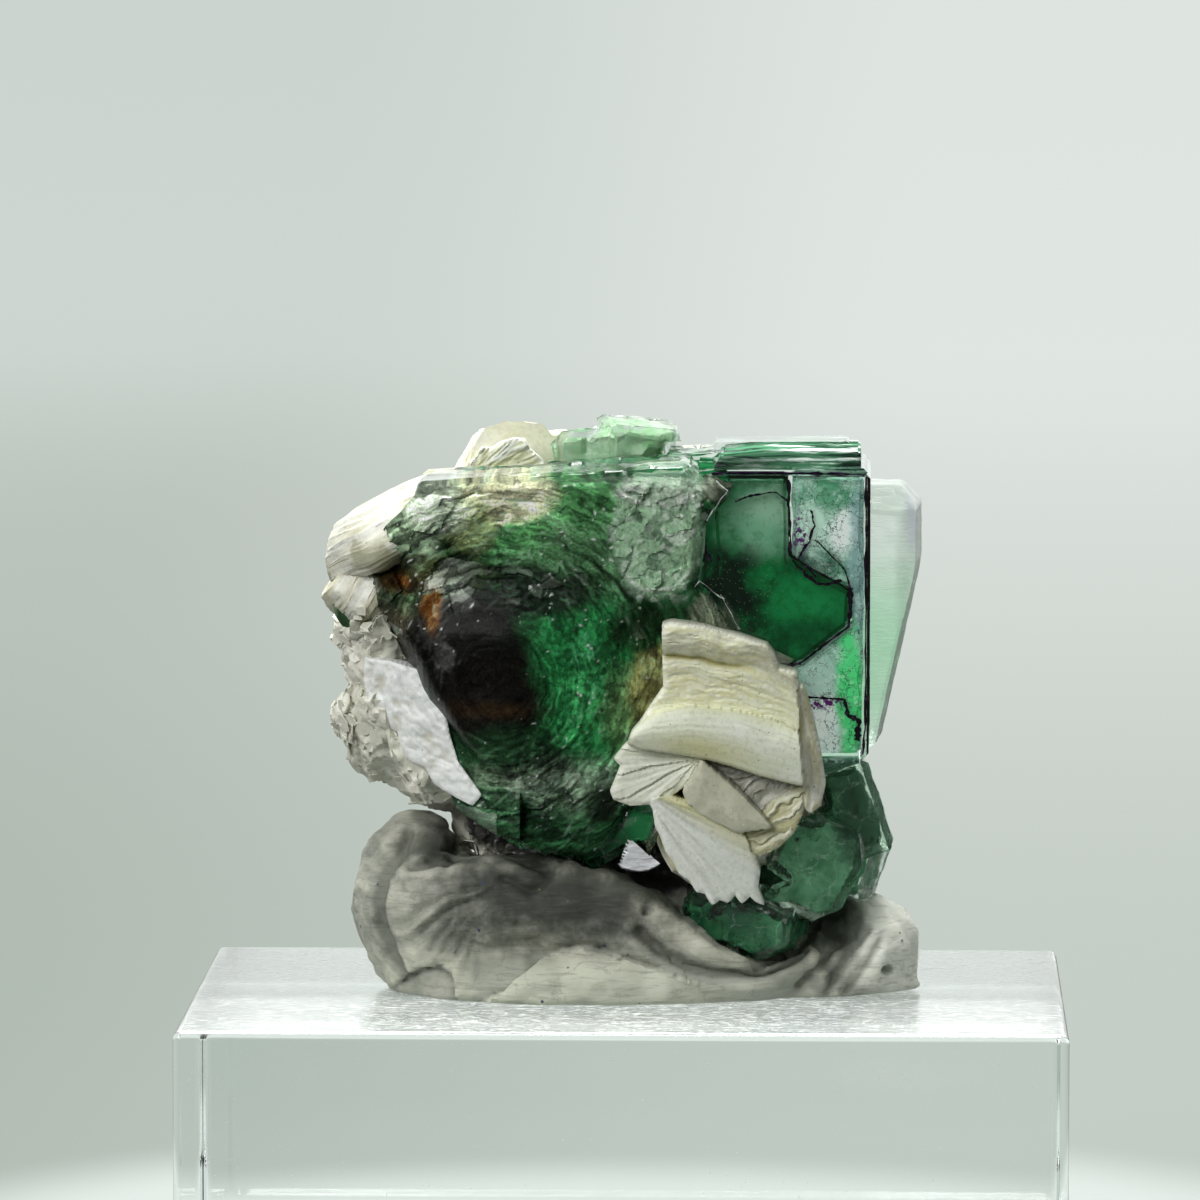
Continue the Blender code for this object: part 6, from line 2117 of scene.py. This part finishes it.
class SPECIMEN_OT_main_crystal(bpy.types.Operator):
    """Makes the main crystal: its clear skin, its phantom and its smoky core"""

    bl_idname = "specimen.main_crystal"
    bl_label = "Main Fluorite"

    def execute(self, context):
        pieces = (
            ("clear_skin", crystal_skin(), clear_fluorite(), ("fluorite_main",)),
            ("smoky_inside", broken_inside(), smoky_core(), ()),
            ("phantom", phantom_body(), phantom_green(), ()),
            ("phantom_rims", phantom_rims(), phantom_outline(), ()),
            ("outer_growth", outer_growth(), cracked_zone(), ()),
            ("pale_rims", pale_rims(), pale_fracture(), ()),
            ("plate_inside", plate_inside(), banded_plate(), ()),
            ("fractured_face", fractured_face(), fractured_fluorite(), ()),
        )
        for name, mesh, material, nodes in pieces:
            hand_over(new_piece(name, mesh, material), "phantom_fluorite", *nodes)
        return {"FINISHED"}


class SPECIMEN_OT_side_crystals(bpy.types.Operator):
    """Makes the smaller crystals round the main one"""

    bl_idname = "specimen.side_crystals"
    bl_label = "Side Crystals"

    def execute(self, context):
        back = side_fluorite("pale_fluorite", (0.66, 0.93, 0.77), 12.0, 0.08, (
            ((0.90, 0.90, 0.86), (19.6, 12.0, 67.4), (3.4, 9.0, 1.6), 0.5, 0.3, 0.9),
            ((0.62, 0.56, 0.80), (25.0, 12.0, 66.6), (0.9, 9.0, 3.4), 0.5, 0.2, 0.8),
            ((0.42, 0.84, 0.52), (20.0, 12.0, 54.0), (8.0, 9.0, 8.0), 0.5, 0.2, 0.8),
        ))
        top = side_fluorite("light_green_fluorite", (0.50, 0.88, 0.60), 30.0, 0.12)
        deep = side_fluorite("frosted_fluorite", (0.35, 0.80, 0.48), 60.0, 0.22)
        rows = (
            ("back_crystal", "fluorite_back_right", back, "pale_fluorite", 6, 0.04),
            ("top_crystals", "fluorite_top", top, "pale_fluorite", 6, 0.12),
            ("lower_crystals", "fluorite_lower_cluster", deep, "deep_fluorite", 6, 0.08),
            ("bottom_crystal", "fluorite_bottom", deep, "deep_fluorite", 6, 0.10),
        )
        for name, node, material, slot, depth, rough in rows:
            hand_over(new_piece(name, smaller_skin(node, depth, rough), material), slot, node)
        dark_side = (((0.050, 0.130, 0.075), (20.4, -4.0, 41.4), (2.6, 9.0, 4.4), 0.4, 0.3, 0.9),)
        insides = (
            ("lower_cloud", "fluorite_lower_cluster", (0.070, 0.240, 0.120), (0.200, 0.480, 0.280),
             0.8, dark_side),
            ("bottom_cloud", "fluorite_bottom", (0.010, 0.110, 0.045), (0.070, 0.280, 0.130), 0.7,
             ()),
            ("top_cloud", "fluorite_top", (0.36, 0.66, 0.36), (0.74, 0.90, 0.70), 1.1, ()),
        )
        for name, node, dark, light, inset, zones in insides:
            made = new_piece(name, smaller_inside(node, inset),
                             clouded_green(name, dark, light, 0.4, zones))
            slot = "pale_fluorite" if node == "fluorite_top" else "deep_fluorite"
            hand_over(made, slot)
        return {"FINISHED"}


class SPECIMEN_OT_fan(bpy.types.Operator):
    """Makes the splayed muscovite books in front"""

    bl_idname = "specimen.fan"
    bl_label = "Muscovite Fan"

    def execute(self, context):
        settings = context.scene.specimen_mica
        finish = pearly_muscovite("cream_muscovite", tuple(settings.cream), tuple(settings.white))
        made = new_piece("mica_fan", mica_books("mica_fan", FAN_BOOKS, finish), finish)
        hand_over(made, "cream_muscovite", "muscovite_fan")
        petals = petal_muscovite("petal_muscovite")
        hand_over(new_piece("fan_petals", fan_petals(), petals), "cream_muscovite")
        return {"FINISHED"}


class SPECIMEN_OT_books(bpy.types.Operator):
    """Makes the sheets above and the thick book at the left"""

    bl_idname = "specimen.books"
    bl_label = "Upper Books"

    def execute(self, context):
        settings = context.scene.specimen_mica
        finish = pearly_muscovite("upper_muscovite", (0.72, 0.71, 0.52), tuple(settings.white),
                                  True, (
            # Painted shade: darker olive patches low on the left books
            ((0.34, 0.34, 0.20), (-21.6, -3.0, 63.8), (4.6, 8.0, 1.5), 0.6, 0.6, 0.7),
            ((0.46, 0.45, 0.28), (-19.6, -3.0, 66.6), (2.4, 8.0, 1.3), 0.6, 0.6, 0.7),
            ((0.48, 0.48, 0.36), (-25.0, -3.0, 62.6), (1.6, 8.0, 2.4), 0.6, 0.6, 0.6),
        ))
        rows = (
            ("upper_sheets", TOP_BOOKS, "cream_muscovite", "muscovite_top_books"),
            ("left_book", LEFT_BOOKS, "white_muscovite", "muscovite_left_book"),
        )
        for name, books, slot, node in rows:
            made = new_piece(name, mica_books(name, books, finish), finish)
            hand_over(made, slot, node)
        torn = new_piece("torn_sheets", torn_sheets(), petal_muscovite("torn_muscovite"))
        hand_over(torn, "cream_muscovite")
        return {"FINISHED"}


class SPECIMEN_OT_matrix(bpy.types.Operator):
    """Makes the crumbly muscovite mass and its loose flakes"""

    bl_idname = "specimen.matrix"
    bl_label = "Muscovite Matrix"

    def execute(self, context):
        settings = context.scene.specimen_mica
        finish = pearly_muscovite("white_muscovite", (0.66, 0.67, 0.56), tuple(settings.white),
                                  False, (
            # Painted shade: near black under the broken crystal, above the tack
            ((0.022, 0.022, 0.020), (-5.0, -4.0, 38.6), (8.6, 9.0, 2.9), 0.25, 0.10, 0.97),
            ((0.022, 0.022, 0.020), (3.0, -4.0, 36.6), (6.0, 9.0, 3.4), 0.25, 0.10, 0.97),
            ((0.022, 0.022, 0.020), (-12.0, -6.0, 40.4), (4.4, 9.0, 2.3), 0.30, 0.10, 0.97),
        ))
        mesh = crumbly_matrix()
        flakes = scatter(mesh, (-4.0, 4.0, 52.0), (60.0, 60.0, 60.0), settings.flake_density,
                         settings.flake_size / MM, 0.10, finish, 6, 0.28, 0.05, (1.3, 0.9, 1.0), 4)
        hand_over(new_piece("crumbly_matrix", mesh, finish), "white_muscovite",
                  "muscovite_matrix")
        hand_over(new_piece("matrix_flakes", flakes, finish), "white_muscovite")
        face = petal_muscovite("cleaved_muscovite")
        hand_over(new_piece("cleaved_face", cleaved_face(), face), "white_muscovite")
        silver = smaller_skin("mica_flake", 5)
        hand_over(new_piece("silver_flake", silver, silver_mica()), "silver_mica", "mica_flake")
        return {"FINISHED"}


class SPECIMEN_PT_panel(bpy.types.Panel):
    """Lists the steps that build the specimen's finish"""

    bl_idname = "SPECIMEN_PT_panel"
    bl_label = "Fluorite Specimen"
    bl_space_type = "VIEW_3D"
    bl_region_type = "UI"
    bl_category = "Specimen"

    def draw(self, context):
        layout = self.layout
        for operator in STEPS:
            layout.operator(operator.bl_idname)
        for settings in (context.scene.specimen_stage, context.scene.specimen_mica):
            box = layout.box()
            for name in settings.__annotations__:
                box.prop(settings, name)


STEPS = (
    SPECIMEN_OT_stage,
    SPECIMEN_OT_block,
    SPECIMEN_OT_tack,
    SPECIMEN_OT_main_crystal,
    SPECIMEN_OT_side_crystals,
    SPECIMEN_OT_fan,
    SPECIMEN_OT_books,
    SPECIMEN_OT_matrix,
)
SETTINGS = (
    ("specimen_stage", StageSettings),
    ("specimen_mica", MicaSettings),
)


def register():
    for name, group in SETTINGS:
        bpy.utils.register_class(group)
        setattr(bpy.types.Scene, name, PointerProperty(type=group))
    for operator in STEPS:
        bpy.utils.register_class(operator)
    bpy.utils.register_class(SPECIMEN_PT_panel)


def unregister():
    bpy.utils.unregister_class(SPECIMEN_PT_panel)
    for operator in reversed(STEPS):
        bpy.utils.unregister_class(operator)
    for name, group in reversed(SETTINGS):
        delattr(bpy.types.Scene, name)
        bpy.utils.unregister_class(group)


def main():
    register()
    noise.seed_set(NOISE_SEED)
    build_groups()
    bpy.ops.specimen.stage()
    bpy.ops.specimen.block()
    bpy.ops.specimen.tack()
    bpy.ops.specimen.main_crystal()
    bpy.ops.specimen.side_crystals()
    bpy.ops.specimen.fan()
    bpy.ops.specimen.books()
    bpy.ops.specimen.matrix()


if __name__ == "__main__":
    main()
